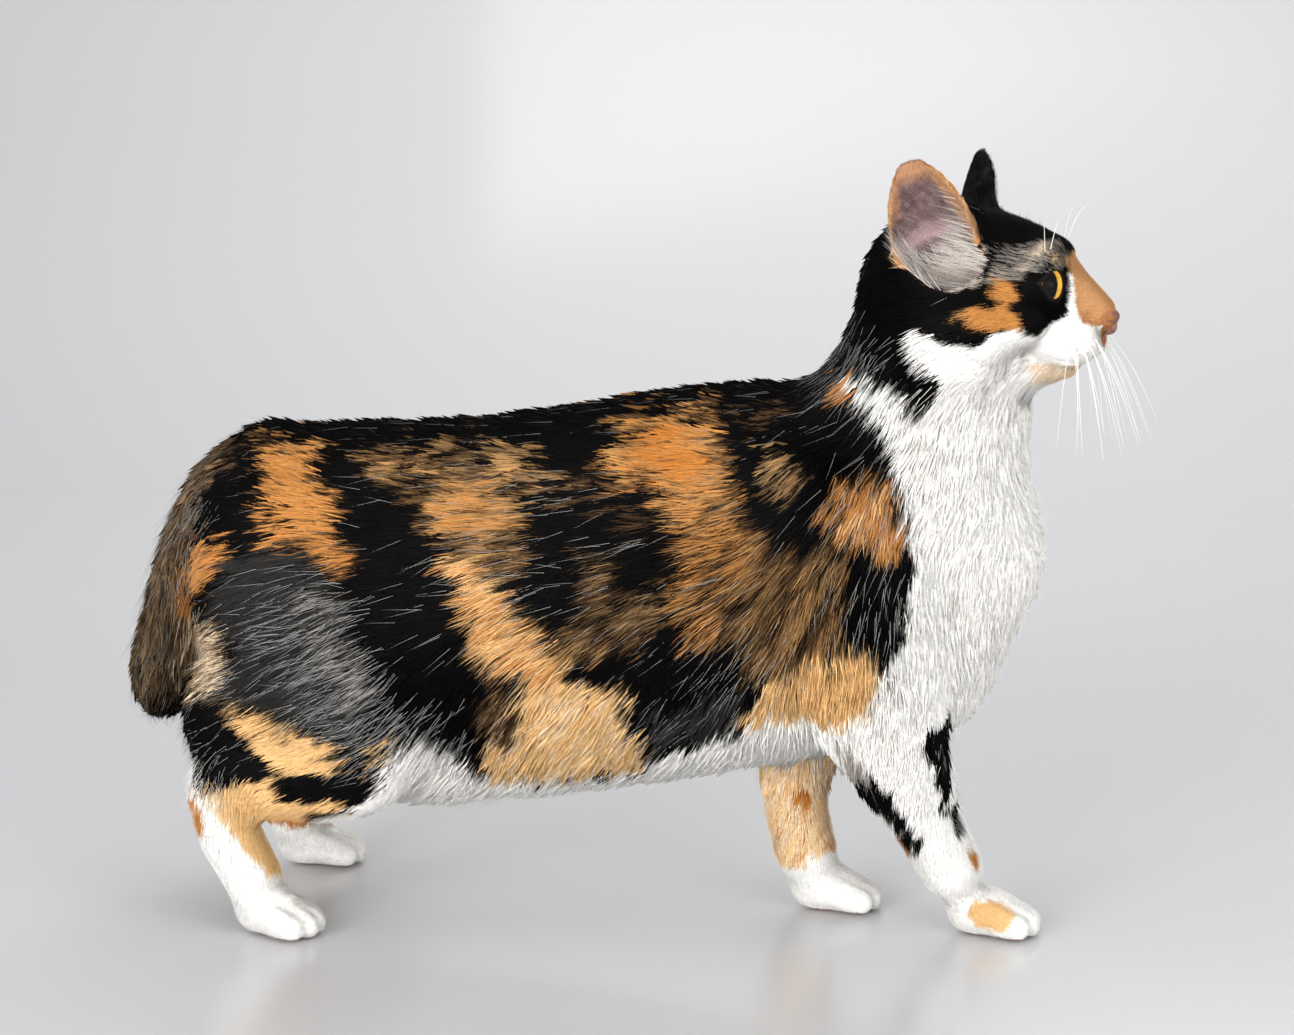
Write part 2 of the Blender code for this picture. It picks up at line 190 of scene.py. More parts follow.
# Trunk, neck and tail: x, y, z, half depth, half width
TRUNK = (
    (-147, 0, 171, 53, 50),
    (-105, 0, 146, 80, 62),
    (-62, 0, 140, 88, 71),
    (-15, 0, 146, 88, 74),
    (32, 0, 154, 89, 68),
    (75, 0, 160, 86, 60),
    (106, 0, 164, 74, 52),
    (128, 0, 168, 57, 44),
)
NECK = (
    (112, 0, 182, 58, 46),
    (132, 0, 224, 50, 41),
    (141, -1, 260, 43, 37),
    (146, -2, 286, 36, 34),
)
TAIL = (
    (-163, 0, 203, 21, 21),
    (-184, 0, 188, 19, 19),
    (-197, 0, 163, 18, 18),
    (-206, 0, 135, 17, 17),
    (-212, 0, 112, 17, 16.5),
    (-213, 0, 101, 16, 16),
)
FORE_RIGHT = (
    (112, -36, 150, 34, 22),
    (118, -32, 108, 31, 20),
    (127, -27, 78, 24, 17),
    (140, -22, 50, 17, 14),
    (150, -20, 30, 15, 13.5),
)
FORE_LEFT = (
    (108, 36, 150, 34, 22),
    (90, 30, 108, 29, 20),
    (80, 22, 75, 20, 17),
    (78, 15, 50, 16, 14),
    (83, 11, 28, 15, 13.5),
)
HIND = (
    (-140, 40, 150, 44, 26),
    (-118, 46, 100, 36, 24),
    (-122, 48, 80, 30, 21),
    (-150, 50, 72, 22, 17),
    (-173, 50, 65, 17, 14),
    (-172, 50, 46, 15.5, 13.5),
    (-162, 50, 26, 14, 13.5),
)
TOE_SPREAD = (-9.6, -3.4, 3.4, 9.6)
PAWS = {
    "fore_right": ((152, -20, 0), math.radians(-4)),
    "fore_left": ((80, 10, 0), math.radians(3)),
    "hind_right": ((-166, -50, 0), math.radians(-14)),
    "hind_left": ((-170, 58, 0), math.radians(12)),
}
NECK_BOX = ((50, -60, 100), (200, 60, 330))
HEAD_BOX = ((95, -60, 235), (230, 50, 360))
EAR_BOX = ((95, -95, 285), (200, 80, 365))
TAIL_BOX = ((-240, -30, 70), (-120, 30, 240))
LEG_BOXES = {
    "fore_right": ((70, -70, -5), (200, 10, 200)),
    "fore_left": ((50, -15, -5), (150, 70, 200)),
    "hind_right": ((-200, -90, -5), (-60, -10, 210)),
    "hind_left": ((-200, 10, -5), (-60, 95, 210)),
}


# Ellipsoids melted on to the trunk and the skull: centre, radii, how softly, and perhaps a turn
BELLY_AND_CHEST = (
    ((-95, 0, 92), (46, 46, 42), 18),
    ((150, 0, 172), (38, 36, 44), 14),
    ((145, 0, 128), (24, 34, 40), 14),
)
SHOULDER_AND_HAUNCH = (
    ((98, 40, 168), (36, 22, 62), 16, turned(pitch=math.radians(-14))),
    ((-138, 38, 140), (50, 28, 62), 18, turned(pitch=math.radians(-10))),
)
FOREHEAD = (((22, 0, 6), (27, 25, 23.5), 10),)
CHEEK_BROW_AND_LID = (
    ((4, 22, -16), (28, 19, 25), 10),
    ((31, 20, -13), (14, 11, 12), 8),
    ((35, 13, 14), (13, 9.5, 8), 6),
    ((34, 17, 2.4), (14, 12.5, 12), 7),
)
MUZZLE = (((44, 0, -16), (19, 16, 14), 8),)
LIP_PAD = (((50, 9, -23.5), (14.5, 11.5, 10.5), 5),)
NOSE_TIP = (((63, 0, -13), (7, 6.8, 5.5), 3),)
NOSE_BRIDGE = ((40, 0, 7.5, 10.8, 10), (53, 0, -2, 8.2, 8.5), (62, 0, -9.5, 6.7, 7.2))
JAW = ((8, 0, -30, 15, 22), (32, 0, -33, 11, 16), (46, 0, -33.5, 7.6, 9.5))


def melt_on(p, shape, blobs, side=1):
    for centre, radii, soft, *turn in blobs:
        shape = melt(shape, blob(p, mirrored(centre, side), radii, *turn), soft)
    return shape


def trunk(p):
    body = melt_on(p, limb(p, TRUNK), BELLY_AND_CHEST)
    for side in (-1, 1):
        body = melt_on(p, body, SHOULDER_AND_HAUNCH, side)
    return body


def paw(p, heel, yaw):
    """A foot with four toes. heel is the middle of the sole's back end."""
    q = (p - np.asarray(heel, p.dtype)) @ turned(yaw=yaw).astype(p.dtype)
    pad = blob(q, (13, 0, 10), (17, 12.5, 12))
    for i, across in enumerate(TOE_SPREAD):
        reach = 29.0 if i in (1, 2) else 24.5
        toe = limb(q, ((12, across * 0.8, 11.5, 8.0, 6.0), (reach - 4, across, 8.5, 7.8, 6.2),
                       (reach + 3, across * 1.05, 6.0, 6.8, 5.8)), 2)
        pad = melt(pad, toe, 2.5)
    return pad


def hind_stations(side):
    if side < 0:
        return [(x, -y, z, depth, width) for x, y, z, depth, width in HIND]
    return [(x - 3, y + 8 * (1 - z / 150), z, depth, width) for x, y, z, depth, width in HIND]


LEGS = {
    "fore_right": FORE_RIGHT,
    "fore_left": FORE_LEFT,
    "hind_right": hind_stations(-1),
    "hind_left": hind_stations(1),
}


BREECHES = {"hind_right": (-168, -46, 98), "hind_left": (-170, 50, 98)}


def leg(p, name):
    heel, yaw = PAWS[name]
    whole = melt(limb(p, LEGS[name]), paw(p, heel, yaw), 8)
    if name in BREECHES:
        whole = melt(whole, blob(p, BREECHES[name], (25, 18, 32)), 10)
    return whole


def head(p):
    skull = melt_on(p, blob(p, (-3, 0, 1), (40, 35, 33)), FOREHEAD)
    for side in (-1, 1):
        skull = melt_on(p, skull, CHEEK_BROW_AND_LID, side)
    skull = melt(skull, limb(p, NOSE_BRIDGE, 2), 8)
    skull = melt_on(p, skull, MUZZLE)
    for side in (-1, 1):
        skull = melt_on(p, skull, LIP_PAD, side)
    skull = melt_on(p, skull, NOSE_TIP)
    return melt(skull, limb(p, JAW, 2), 6)


EARS = {
    # base from the head's centre, then turns: round the upright, tip across the opening, tip along it
    "ear_right": ((-4.5, -26, 17.8), math.radians(-168), math.radians(19), math.radians(-24)),
    "ear_left": ((5, 24, 19), math.radians(-60), math.radians(-29), math.radians(-14)),
}

# Towards the opening's back edge, along the ear's X
EAR_BACK = {"ear_right": 1, "ear_left": -1}


def ear_turn(name):
    _, yaw, pitch, roll = EARS[name]
    return turned(yaw=yaw, pitch=pitch, roll=roll)


def ear_space(q, name):
    return (q - np.asarray(EARS[name][0], q.dtype)) @ ear_turn(name).astype(q.dtype)


def head_space(p):
    return (p - HEAD_CENTRE.astype(p.dtype)) @ HEAD_AXES.astype(p.dtype)


def head_place(p):
    """Places in the head's axes, at the precision that the distances use."""
    return head_space(p.astype(np.float32)).astype(float)


# The ear's outside and its cup: y, x, z, half depth and half width in the ear's axes
EAR_SHELL = ((-2.0, 0, -12, 13, 18), (-2.0, 0, 3, 12.5, 19.5), (-3.0, 0, 17, 10, 17.5),
             (-4.5, 0, 30, 6.5, 12.5), (-5.5, 0, 38, 3.8, 7))
EAR_CUP = ((5.0, 0, 0, 10, 12), (4.5, 0, 6, 12.5, 16), (3.5, 0, 17, 11, 15), (1.5, 0, 30, 8, 10.5),
           (-0.5, 0, 40, 5, 6))


def ear(p):
    """A cupped ear in its own axes: X across, Y out of the opening, Z up to the tip."""
    q = p[:, [1, 0, 2]]
    return carve(limb(q, EAR_SHELL, 2), limb(q, EAR_CUP, 2), 1.5)


def regions(p):
    """Distances to each part of the coat, before they melt together."""
    found = {"trunk": trunk(p), "neck": within(p, *NECK_BOX, lambda q: limb(q, NECK)),
             "head": within(p, *HEAD_BOX, lambda q: head(head_space(q)))}
    for name in EARS:
        found[name] = within(p, *EAR_BOX, lambda q: ear(ear_space(head_space(q), name)))
    found["tail"] = within(p, *TAIL_BOX, lambda q: limb(q, TAIL))
    for name, box in LEG_BOXES.items():
        found[name] = within(p, *box, lambda q: leg(q, name))
    return found


def ear_hollow(e, name):
    """The open cup, the bowl at its foot and the bowl's shallow front. e is in the ear's axes."""
    cup = limb(e[:, [1, 0, 2]], EAR_CUP, 2)
    front = -EAR_BACK[name]
    cup = melt(cup, blob(e, (3 * front, 12, -1), (13, 11, 12)), 4)
    return melt(cup, blob(e, (16 * front, 15, 0), (9, 6, 8)), 4)


def hollow_of(p, name):
    return within(p, *EAR_BOX, lambda q: ear_hollow(ear_space(head_space(q), name), name))


def hollows(p):
    return nearest(hollow_of(p, name) for name in EARS)


def coat_surface(found, hollow):
    """Distance to the coat's outline, which is the solids' own but for the ears' bowls."""
    torso = melt(found["trunk"], found["neck"], 16)
    torso = melt(torso, found["head"], 14)
    for name in EARS:
        torso = melt(torso, found[name], 5)
    torso = carve(torso, hollow, 1.5)
    whole = melt(torso, found["tail"], 8)
    for name in LEG_BOXES:
        whole = np.minimum(whole, melt(torso, found[name], 12))
    return whole


# How the eye's opening turns outwards, upwards and round itself, and its size
EYE_AXIS = (math.radians(20), math.radians(3))
EYE_SLANT = math.radians(9)
EYE_HALF_WIDTH, EYE_HALF_UPPER, EYE_HALF_LOWER = 8.2, 6.1, 5.9
LID = 1.2
LID_EDGE = 3.4
GAZE = {-1: math.radians(33), 1: math.radians(10)}
GAZE_RISE = math.radians(3)


def eye_axes(side):
    """Columns: out of the eye, towards the cat's left across it, up it."""
    outwards, upwards = EYE_AXIS
    return turned(yaw=outwards * side, pitch=-upwards, roll=EYE_SLANT * side)


def eye_space(q, side):
    """From the head's axes to the eye's own."""
    return (q - mirrored(EYE_PLACE, side).astype(q.dtype)) @ eye_axes(side).astype(q.dtype)


def gaze_axes(side):
    return turned(yaw=GAZE[side] * side, pitch=-GAZE_RISE)


def lids(q):
    """Distance to the domes that the lids make over the eyes. q is in the head's axes."""
    eyes = (eye_space(q, side) for side in (-1, 1))
    return nearest(np.maximum(lengths(e) - EYE_RADIUS - LID, 1.0 - e[:, 0]) for e in eyes)


def coat_distance(p):
    p = p.astype(np.float32)
    outline = coat_surface(regions(p), hollows(p))
    return melt(outline, lids(head_space(p)) - 0.5, 3.0)


# How far the skin lies under the coat's tips, by height on a leg and by place along the head
LEG_DEPTH = ((0, 1.0), (22, 1.6), (50, 3.0), (90, 5.5), (150, 9.0))
HEAD_DEPTH = ((-40, 7.0), (-15, 5.0), (5, 3.0), (25, 1.6), (45, 0.9), (62, 0.6))
PART_DEPTH = {"trunk": 9.0, "neck": 9.0, "tail": 7.5, "ear_right": 0.8, "ear_left": 0.8}


def shares(found, reach=5.0):
    """How much each part owns each point."""
    names = list(found)
    weight = np.exp(-np.clip(np.stack([found[n] for n in names]), -60, 60) / reach)
    weight /= weight.sum(0)
    return dict(zip(names, weight))


def by_part(p, share, on_legs, along_head, elsewhere):
    """A measure looked up by height on the legs and by place along the head, and by name elsewhere."""
    place = head_space(p.astype(np.float32))[:, 0]
    found = np.zeros(len(p), p.dtype)
    for name, part in share.items():
        if name in LEG_BOXES:
            found += part * looked_up(p[:, 2], on_legs)
        elif name == "head":
            found += part * looked_up(place, along_head)
        else:
            found += part * elsewhere[name]
    return found


def coat_depth(p, share):
    return by_part(p, share, LEG_DEPTH, HEAD_DEPTH, PART_DEPTH)


def eye_opening(q):
    """Distance to the almond-shaped space in front of the eye. q is from the eye's centre, in its axes."""
    height = np.where(q[:, 2] > 0, EYE_HALF_UPPER, EYE_HALF_LOWER)
    across = np.abs(q[:, 1]) / EYE_HALF_WIDTH
    edge = np.abs(q[:, 2]) - height * (1.0 - across**2.2)
    slope = np.sqrt(1.0 + (2.2 * height / EYE_HALF_WIDTH * np.minimum(across, 1.3) ** 1.2) ** 2)
    return np.maximum(edge / slope, -q[:, 0] + 2.0)


# The left half of the mouth line, the left nostril and the lip's split, in the head's axes
MOUTH = ((65, 0, -27), (61, 9, -29), (53, 14, -31), (43, 16, -31), (34, 18.5, -30.5), (28, 23, -33))
NOSTRIL = ((70.3, 2.6, -11.8), (67.8, 4.4, -12.6), (65.8, 5.6, -11.8))
PHILTRUM = ((70, 0, -18.5), (68, 0, -22), (66, 0, -27))


def chain_link(p, a, b):
    along = b[:3] - a[:3]
    q = p - a[:3]
    t = np.clip(q @ along / (along @ along), 0.0, 1.0)
    return lengths(q - t[:, None] * along) - (a[3] + (b[3] - a[3]) * t)


def chain(p, places):
    """Distance to a chain of places, each with its own radius."""
    rows = np.array(places, p.dtype)
    return nearest(chain_link(p, a, b) for a, b in zip(rows[:-1], rows[1:]))


def groove(p, points, radius):
    return chain(p, [(*point, radius) for point in points])


def mouth_groove(q, side, radius):
    return groove(q, [mirrored(point, side) for point in MOUTH], radius)


def face_details(q, skin):
    """Lids, eye sockets, mouth line and the split of the lip on the head. q is in the head's axes."""
    skin = melt(skin, lids(q), 2.5)
    for side in (-1, 1):
        e = eye_space(q, side)
        skin = carve(skin, eye_opening(e), 0.7)
        skin = np.maximum(skin, EYE_RADIUS - 0.3 - lengths(e))
        skin = carve(skin, mouth_groove(q, side, 0.7), 1.2)
    return carve(skin, groove(q, PHILTRUM, 0.3), 1.0)


FACE_REACH, FACE_BACK = (80, 45, 50), 12
SOLE_HEIGHT = 0.25


def skin_distance(p):
    p = p.astype(np.float32)
    found = regions(p)
    hollow = hollows(p)
    depth = np.minimum(coat_depth(p, shares(found)), 0.5 + 0.35 * np.maximum(hollow, 0.0))
    skin = coat_surface(found, hollow) + depth
    q = head_space(p)
    near = (np.abs(q) < np.array(FACE_REACH)).all(1) & (q[:, 0] > FACE_BACK)
    skin[near] = face_details(q[near], skin[near])
    return np.maximum(skin, SOLE_HEIGHT - p[:, 2])


# Surfaces from distances


def uneven_axis(stops):
    """Grid lines: stops are (from, to, cell)."""
    lines = [np.linspace(a, b, max(2, int(round((b - a) / cell)) + 1))[:-1] for a, b, cell in stops]
    lines.append([stops[-1][1]])
    return np.concatenate(lines).astype(np.float32)


FEW_POINTS = 200000
BAND = 4.0


def in_parts(distance, points):
    """The distances, worked out for a few points at a time."""
    parts = np.array_split(points, max(1, len(points) // FEW_POINTS))
    return np.concatenate([distance(part) for part in parts])


def surface(distance, grids, every, reach):
    """Corners and faces where distance is nought, looked for within reach of it on every few grid lines."""
    coarse_axes = [np.append(g[:-1:every], g[-1]) for g in grids]
    coarse = np.stack(np.meshgrid(*coarse_axes, indexing="ij"), -1).reshape(-1, 3)
    rough = in_parts(distance, coarse).reshape([len(g) for g in coarse_axes])
    index = [np.abs(g[:, None] - c[None, :]).argmin(1) for g, c in zip(grids, coarse_axes)]
    values = rough[np.ix_(*index)].astype(np.float32)
    where = np.argwhere(np.abs(values) < reach)
    points = np.stack([g[where[:, i]] for i, g in enumerate(grids)], -1)
    values[tuple(where.T)] = in_parts(distance, points)
    volume = openvdb.FloatGrid(background=BAND)
    volume.copyFromArray(np.clip(values, -BAND, BAND))
    corners, _, quads = volume.convertToPolygons(isovalue=0.0, adaptivity=0.0)
    corners = np.stack([np.interp(corners[:, i], np.arange(len(g)), g) for i, g in enumerate(grids)], -1)
    return corners, quads


def linked(name, mesh):
    thing = bpy.data.objects.new(name, mesh)
    bpy.context.scene.collection.objects.link(thing)
    return thing


def smooth_shaded(mesh):
    mesh.polygons.foreach_set("use_smooth", np.full(len(mesh.polygons), True))


def plain_mesh(name, corners, faces):
    """A mesh from arrays. faces is an array of one face size. The corners are in the row's frame."""
    mesh = bpy.data.meshes.new(name)
    count, size = faces.shape
    mesh.vertices.add(len(corners))
    mesh.vertices.foreach_set("co", np.ascontiguousarray(corners, np.float32).ravel())
    mesh.loops.add(count * size)
    mesh.loops.foreach_set("vertex_index", np.ascontiguousarray(faces, np.int32).ravel())
    mesh.polygons.add(count)
    mesh.polygons.foreach_set("loop_start", np.arange(0, count * size, size, dtype=np.int32))
    smooth_shaded(mesh)
    mesh.update(calc_edges=True)
    return linked(name, mesh)


def apply_modifiers(thing):
    graph = bpy.context.evaluated_depsgraph_get()
    graph.update()
    mesh = bpy.data.meshes.new_from_object(thing.evaluated_get(graph))
    thing.modifiers.clear()
    thing.data = mesh
    return mesh


def read_array(collection, field, width, kind=np.float32):
    found = np.empty(len(collection) * width, kind)
    collection.foreach_get(field, found)
    return found.reshape(-1, width)


def design_corners(mesh):
    return read_array(mesh.vertices, "co", 3) / MILLIMETRE - SHIFT


def set_colours(mesh, colours):
    layer = mesh.color_attributes.new("coat_colour", "FLOAT_COLOR", "POINT")
    rgba = np.ones((len(colours), 4), np.float32)
    rgba[:, :3] = colours
    layer.data.foreach_set("color", rgba.ravel())


# Markings


NOISE_STRIDES = np.array([374761393, 668265263, 2147483647])


def noise(p, scale, seed):
    """Smooth value noise from 0 to 1, one value for each point."""
    q = p / scale + seed * 17.31
    base = np.floor(q).astype(np.int64)
    f = q - base
    f = f * f * (3 - 2 * f)
    total = np.zeros(len(p))
    for dx in (0, 1):
        for dy in (0, 1):
            for dz in (0, 1):
                c = base + np.array([dx, dy, dz])
                h = (c @ NOISE_STRIDES + seed * 974711) & 0x7FFFFFFF
                h = ((h ^ (h >> 13)) * 1274126177) & 0x7FFFFFFF
                value = ((h ^ (h >> 16)) & 0xFFFF) / 65535.0
                weight = (np.where(dx, f[:, 0], 1 - f[:, 0]) * np.where(dy, f[:, 1], 1 - f[:, 1])
                          * np.where(dz, f[:, 2], 1 - f[:, 2]))
                total += weight * value
    return total


BLACK = (0.0024, 0.0021, 0.0021)
# Smoky grey: a real grey of the coat on the haunches and the left ear, and painted sheen along the top of
# the back and on the lower flank
SMOKE_AND_SHEEN = (0.025, 0.024, 0.0225)
BROWN = (0.075, 0.040, 0.018)
TAN = (0.44, 0.235, 0.085)
TAUPE = (0.24, 0.145, 0.066)
TICKED = (0.115, 0.088, 0.060)
GREY = (0.30, 0.27, 0.24)
ORANGE = (0.50, 0.215, 0.058)
RUST = (0.46, 0.165, 0.03)
APRICOT = (0.74, 0.46, 0.20)
CREAM = (0.80, 0.62, 0.42)
WHITE = (0.90, 0.87, 0.82)
PEACH = (0.72, 0.52, 0.34)
BRIDGE_TAN = (0.50, 0.255, 0.11)
LEATHER_TAN = (0.36, 0.145, 0.06)
EAR_SKIN = (0.40, 0.27, 0.28)
EAR_DARK = (0.085, 0.052, 0.045)
EAR_RIM = (0.52, 0.27, 0.14)
EAR_HAIR = (0.55, 0.50, 0.45)
LID_SKIN = (0.012, 0.009, 0.008)
PAD_SKIN = (0.30, 0.16, 0.14)
NOSE_DARK = (0.12, 0.05, 0.032)
NOSE_PALE = (0.26, 0.11, 0.07)
AMBER = (0.62, 0.33, 0.045)
EYE_DARK = (0.035, 0.02, 0.012)
PUPIL = (0.002, 0.002, 0.002)
LOOSE_WHITE = (0.36, 0.355, 0.345)
WHISKER_COLOUR = (0.83, 0.81, 0.77)
BRINDLE = ((BROWN, 0.62), (TAUPE, 0.32), (TAN, 0.22))
SADDLE = ((BROWN, 0.72), (TAUPE, 0.34), (TAN, 0.34), (ORANGE, 0.36))

# Patches on the right side: the colours laid and how fully each covers, then the outline from the side
RIGHT_PATCHES = (
    # Back, rump, tail and haunch
    # Painted sheen: smoky grey with grey laid over the black along the top of the back
    (((SMOKE_AND_SHEEN, 1.1), (GREY, 0.3)), ((-147, 215), (-124, 216), (-82, 217), (-44, 219), (-8, 223), (-9, 228),
     (-56, 220), (-101, 217), (-147, 215))),
    (((ORANGE, 1.0),), ((-188, 173), (-173, 176), (-168, 169), (-173, 163), (-191, 150), (-194, 141),
     (-197, 132), (-200, 136), (-203, 144), (-197, 154), (-193, 163))),
    (((TAUPE, 0.5), (CREAM, 0.4)), ((-199, 131), (-179, 141), (-174, 132), (-168, 121), (-176, 110),
     (-203, 108))),
    (((BROWN, 0.45),), ((-190, 205), (-176, 209), (-164, 217), (-161, 211), (-171, 205), (-187, 201))),
    (((BROWN, 0.7), (TAN, 0.3)), ((-162, 217), (-147, 215), (-134, 216), (-132, 212), (-159, 214))),
    (((BROWN, 1.0), (ORANGE, 0.9)), ((-160, 215), (-145, 214), (-134, 214), (-134, 206), (-130, 199),
     (-122, 195), (-119, 183), (-116, 171), (-118, 164), (-123, 169), (-128, 176), (-136, 176), (-153, 176),
     (-155, 187), (-156, 198), (-156, 207))),
    (((BLACK, 0.6),), ((-156, 192), (-143, 193), (-141, 187), (-151, 186))),
    (((SMOKE_AND_SHEEN, 1.1),), ((-180, 160), (-159, 174), (-136, 174), (-124, 166), (-116, 154), (-113, 132),
     (-104, 110), (-113, 92), (-137, 95), (-164, 103), (-174, 111), (-167, 134), (-179, 150))),
    (((GREY, 0.36),), ((-133, 159), (-120, 156), (-115, 136), (-103, 113), (-114, 107), (-126, 130),
     (-135, 148))),
    (((APRICOT, 1.1),), ((-168, 105), (-160, 102), (-149, 93), (-137, 93), (-125, 90), (-116, 76),
     (-112, 67), (-120, 56), (-133, 58), (-149, 59), (-159, 68), (-154, 77), (-161, 89))),
    (((APRICOT, 0.6),), ((-108, 89), (-97, 91), (-95, 80), (-104, 79))),
    (((WHITE, 1.1),), ((-93, 87), (-83, 88), (-71, 81), (-60, 72), (-59, 63), (-101, 63), (-101, 71))),
    # Flank
    (((BROWN, 0.62), (TAUPE, 0.28), (TAN, 0.2)), ((-112, 214), (-84, 217), (-54, 219), (-33, 215),
     (-31, 207), (-43, 204), (-42, 198), (-36, 186), (-38, 175), (-45, 167), (-50, 159), (-60, 165),
     (-68, 177), (-79, 185), (-86, 195), (-97, 199), (-106, 207))),
    (((TAN, 0.26), (ORANGE, 0.32)), ((-82, 196), (-72, 203), (-56, 205), (-50, 197), (-39, 191), (-36, 186),
     (-52, 187), (-66, 184), (-77, 186))),
    (((TAN, 0.34),), ((-52, 216), (-39, 216), (-32, 209), (-46, 207))),
    (((BROWN, 1.0), (APRICOT, 0.92), (ORANGE, 0.4)), ((-71, 175), (-60, 170), (-48, 160), (-38, 147),
     (-27, 140), (-19, 130), (-16, 116), (-28, 113), (-39, 122), (-51, 126), (-57, 134), (-61, 147),
     (-62, 158), (-68, 167))),
    (((APRICOT, 1.2), (CREAM, 0.3)), ((-39, 115), (-21, 117), (-10, 119), (2, 123), (6, 104), (13, 94),
     (14, 77), (8, 72), (-55, 64), (-57, 78), (-52, 93), (-52, 105), (-45, 111))),
    (((BROWN, 0.7), (BLACK, 0.35)), ((-54, 110), (-39, 114), (-38, 93), (-48, 89), (-56, 97))),
    (((BROWN, 0.5), (TAUPE, 0.35), (TAN, 0.12)), ((-24, 138), (-3, 152), (2, 140), (-6, 130), (-20, 128))),
    (((BROWN, 0.5), (TAUPE, 0.3)), ((-12, 179), (-1, 178), (4, 157), (-5, 152), (-10, 166))),
    (((BROWN, 0.6), (TAUPE, 0.5)), ((2, 156), (22, 160), (19, 146), (8, 136))),
    (((BROWN, 0.5), (TAUPE, 0.2)), ((-28, 207), (-2, 207), (-4, 196), (-19, 198))),
    (((BROWN, 0.5),), ((1, 197), (15, 197), (18, 187), (4, 187))),
    # Painted sheen: smoky grey laid over the black of the lower flank
    (((SMOKE_AND_SHEEN, 0.75),), ((13, 105), (59, 115), (58, 85), (18, 85))),
    # Saddle and shoulder
    (((BROWN, 0.7), (TAN, 0.4), (ORANGE, 0.36)), ((-6, 213), (0, 220), (6, 222), (1, 228), (8, 231),
     (21, 233), (45, 236), (51, 223), (55, 207), (60, 191), (67, 180), (69, 166), (58, 161), (47, 157),
     (50, 146), (45, 134), (36, 137), (32, 148), (27, 161), (33, 170), (29, 183), (24, 191), (20, 202),
     (13, 206), (0, 207))),
    (((BLACK, 0.3),), ((26, 193), (69, 193), (73, 131), (32, 131))),
    (((ORANGE, 0.6), (RUST, 0.5)), ((9, 226), (22, 230), (37, 227), (39, 215), (34, 207), (21, 209),
     (12, 212))),
    (((BLACK, 0.4),), ((45, 236), (53, 236), (60, 207), (58, 191), (54, 207))),
    (((BLACK, 1.1),), ((51, 236), (79, 237), (91, 224), (92, 201), (90, 184), (79, 178), (71, 183),
     (65, 193), (60, 207))),
    (((BROWN, 0.5),), ((53, 236), (75, 237), (72, 231), (58, 229))),
    (((TAUPE, 0.8), (TAN, 0.3)), ((65, 220), (71, 219), (82, 208), (77, 203), (69, 210))),
    (((BROWN, 0.54), (TAUPE, 0.27), (TAN, 0.18)), ((59, 187), (70, 180), (83, 177), (92, 184), (99, 175),
     (100, 140), (93, 129), (83, 126), (71, 118), (61, 122), (54, 139), (51, 156), (58, 170))),
    (((TAUPE, 0.6), (TAN, 0.2)), ((74, 157), (86, 158), (88, 139), (79, 135))),
    (((TAUPE, 0.5),), ((88, 182), (96, 182), (96, 169), (91, 166))),
    (((BROWN, 1.0), (ORANGE, 0.95), (APRICOT, 0.25)), ((97, 207), (108, 209), (119, 208), (124, 199),
     (128, 189), (129, 177), (120, 175), (113, 183), (105, 185), (95, 187), (93, 195), (99, 199))),
    (((APRICOT, 1.2),), ((62, 104), (69, 117), (79, 123), (84, 126), (90, 131), (96, 125), (102, 133),
     (106, 136), (115, 129), (119, 117), (117, 101), (105, 94), (59, 82))),
    (((ORANGE, 1.1),), ((99, 249), (100, 249), (103, 244), (96, 243))),
)

# Patches on the left side
LEFT_PATCHES = (
    (((SMOKE_AND_SHEEN, 0.9),), ((-150, 128), (-112, 142), (-92, 112), (-108, 88), (-152, 96))),
    (((BROWN, 1.0), (ORANGE, 0.86)), ((-160, 214), (-140, 217), (-124, 210), (-128, 192), (-116, 176),
     (-112, 158), (-124, 150), (-134, 164), (-150, 172), (-158, 190))),
    (BRINDLE, ((-104, 216), (-84, 222), (-58, 220), (-50, 206), (-62, 196), (-58, 182), (-76, 170),
     (-92, 178), (-84, 192), (-100, 200))),
    (((BROWN, 1.0), (APRICOT, 0.92), (ORANGE, 0.4)), ((-84, 128), (-70, 134), (-52, 126), (-36, 118),
     (-20, 108), (-8, 96), (0, 78), (-10, 62), (-48, 62), (-56, 84), (-72, 92), (-88, 108))),
    (SADDLE, ((-22, 232), (0, 238), (18, 234), (28, 222), (24, 206), (34, 190), (30, 172), (40, 158),
     (34, 140), (22, 136), (12, 150), (6, 172), (-6, 182), (-2, 200), (-16, 210))),
    (((ORANGE, 0.6), (RUST, 0.4)), ((-12, 228), (8, 230), (18, 218), (10, 204), (-4, 212))),
    (BRINDLE, ((44, 196), (60, 204), (72, 190), (70, 168), (78, 150), (68, 128), (52, 120), (44, 140),
     (50, 160), (40, 178))),
    (((BROWN, 1.0), (ORANGE, 0.95)), ((84, 212), (100, 218), (112, 208), (108, 194), (96, 186), (84, 192))),
    (((APRICOT, 1.2),), ((58, 112), (74, 120), (90, 116), (100, 102), (96, 88), (70, 84), (56, 94))),
    (BRINDLE, ((-34, 180), (-20, 184), (-12, 168), (-24, 158), (-36, 164))),
    (((BROWN, 0.5),), ((-30, 140), (-10, 146), (0, 132), (-18, 124))),
    (((APRICOT, 1.1),), ((-176, 108), (-160, 112), (-146, 100), (-128, 96), (-112, 88), (-108, 74),
     (-124, 66), (-146, 72), (-164, 62), (-178, 74))),
)

# The tail's ticked hair: x, y, z and radius along it
TAIL_PATCH = ((-194, 0, 198, 22), (-206, 0, 160, 22), (-214, 0, 116, 24))

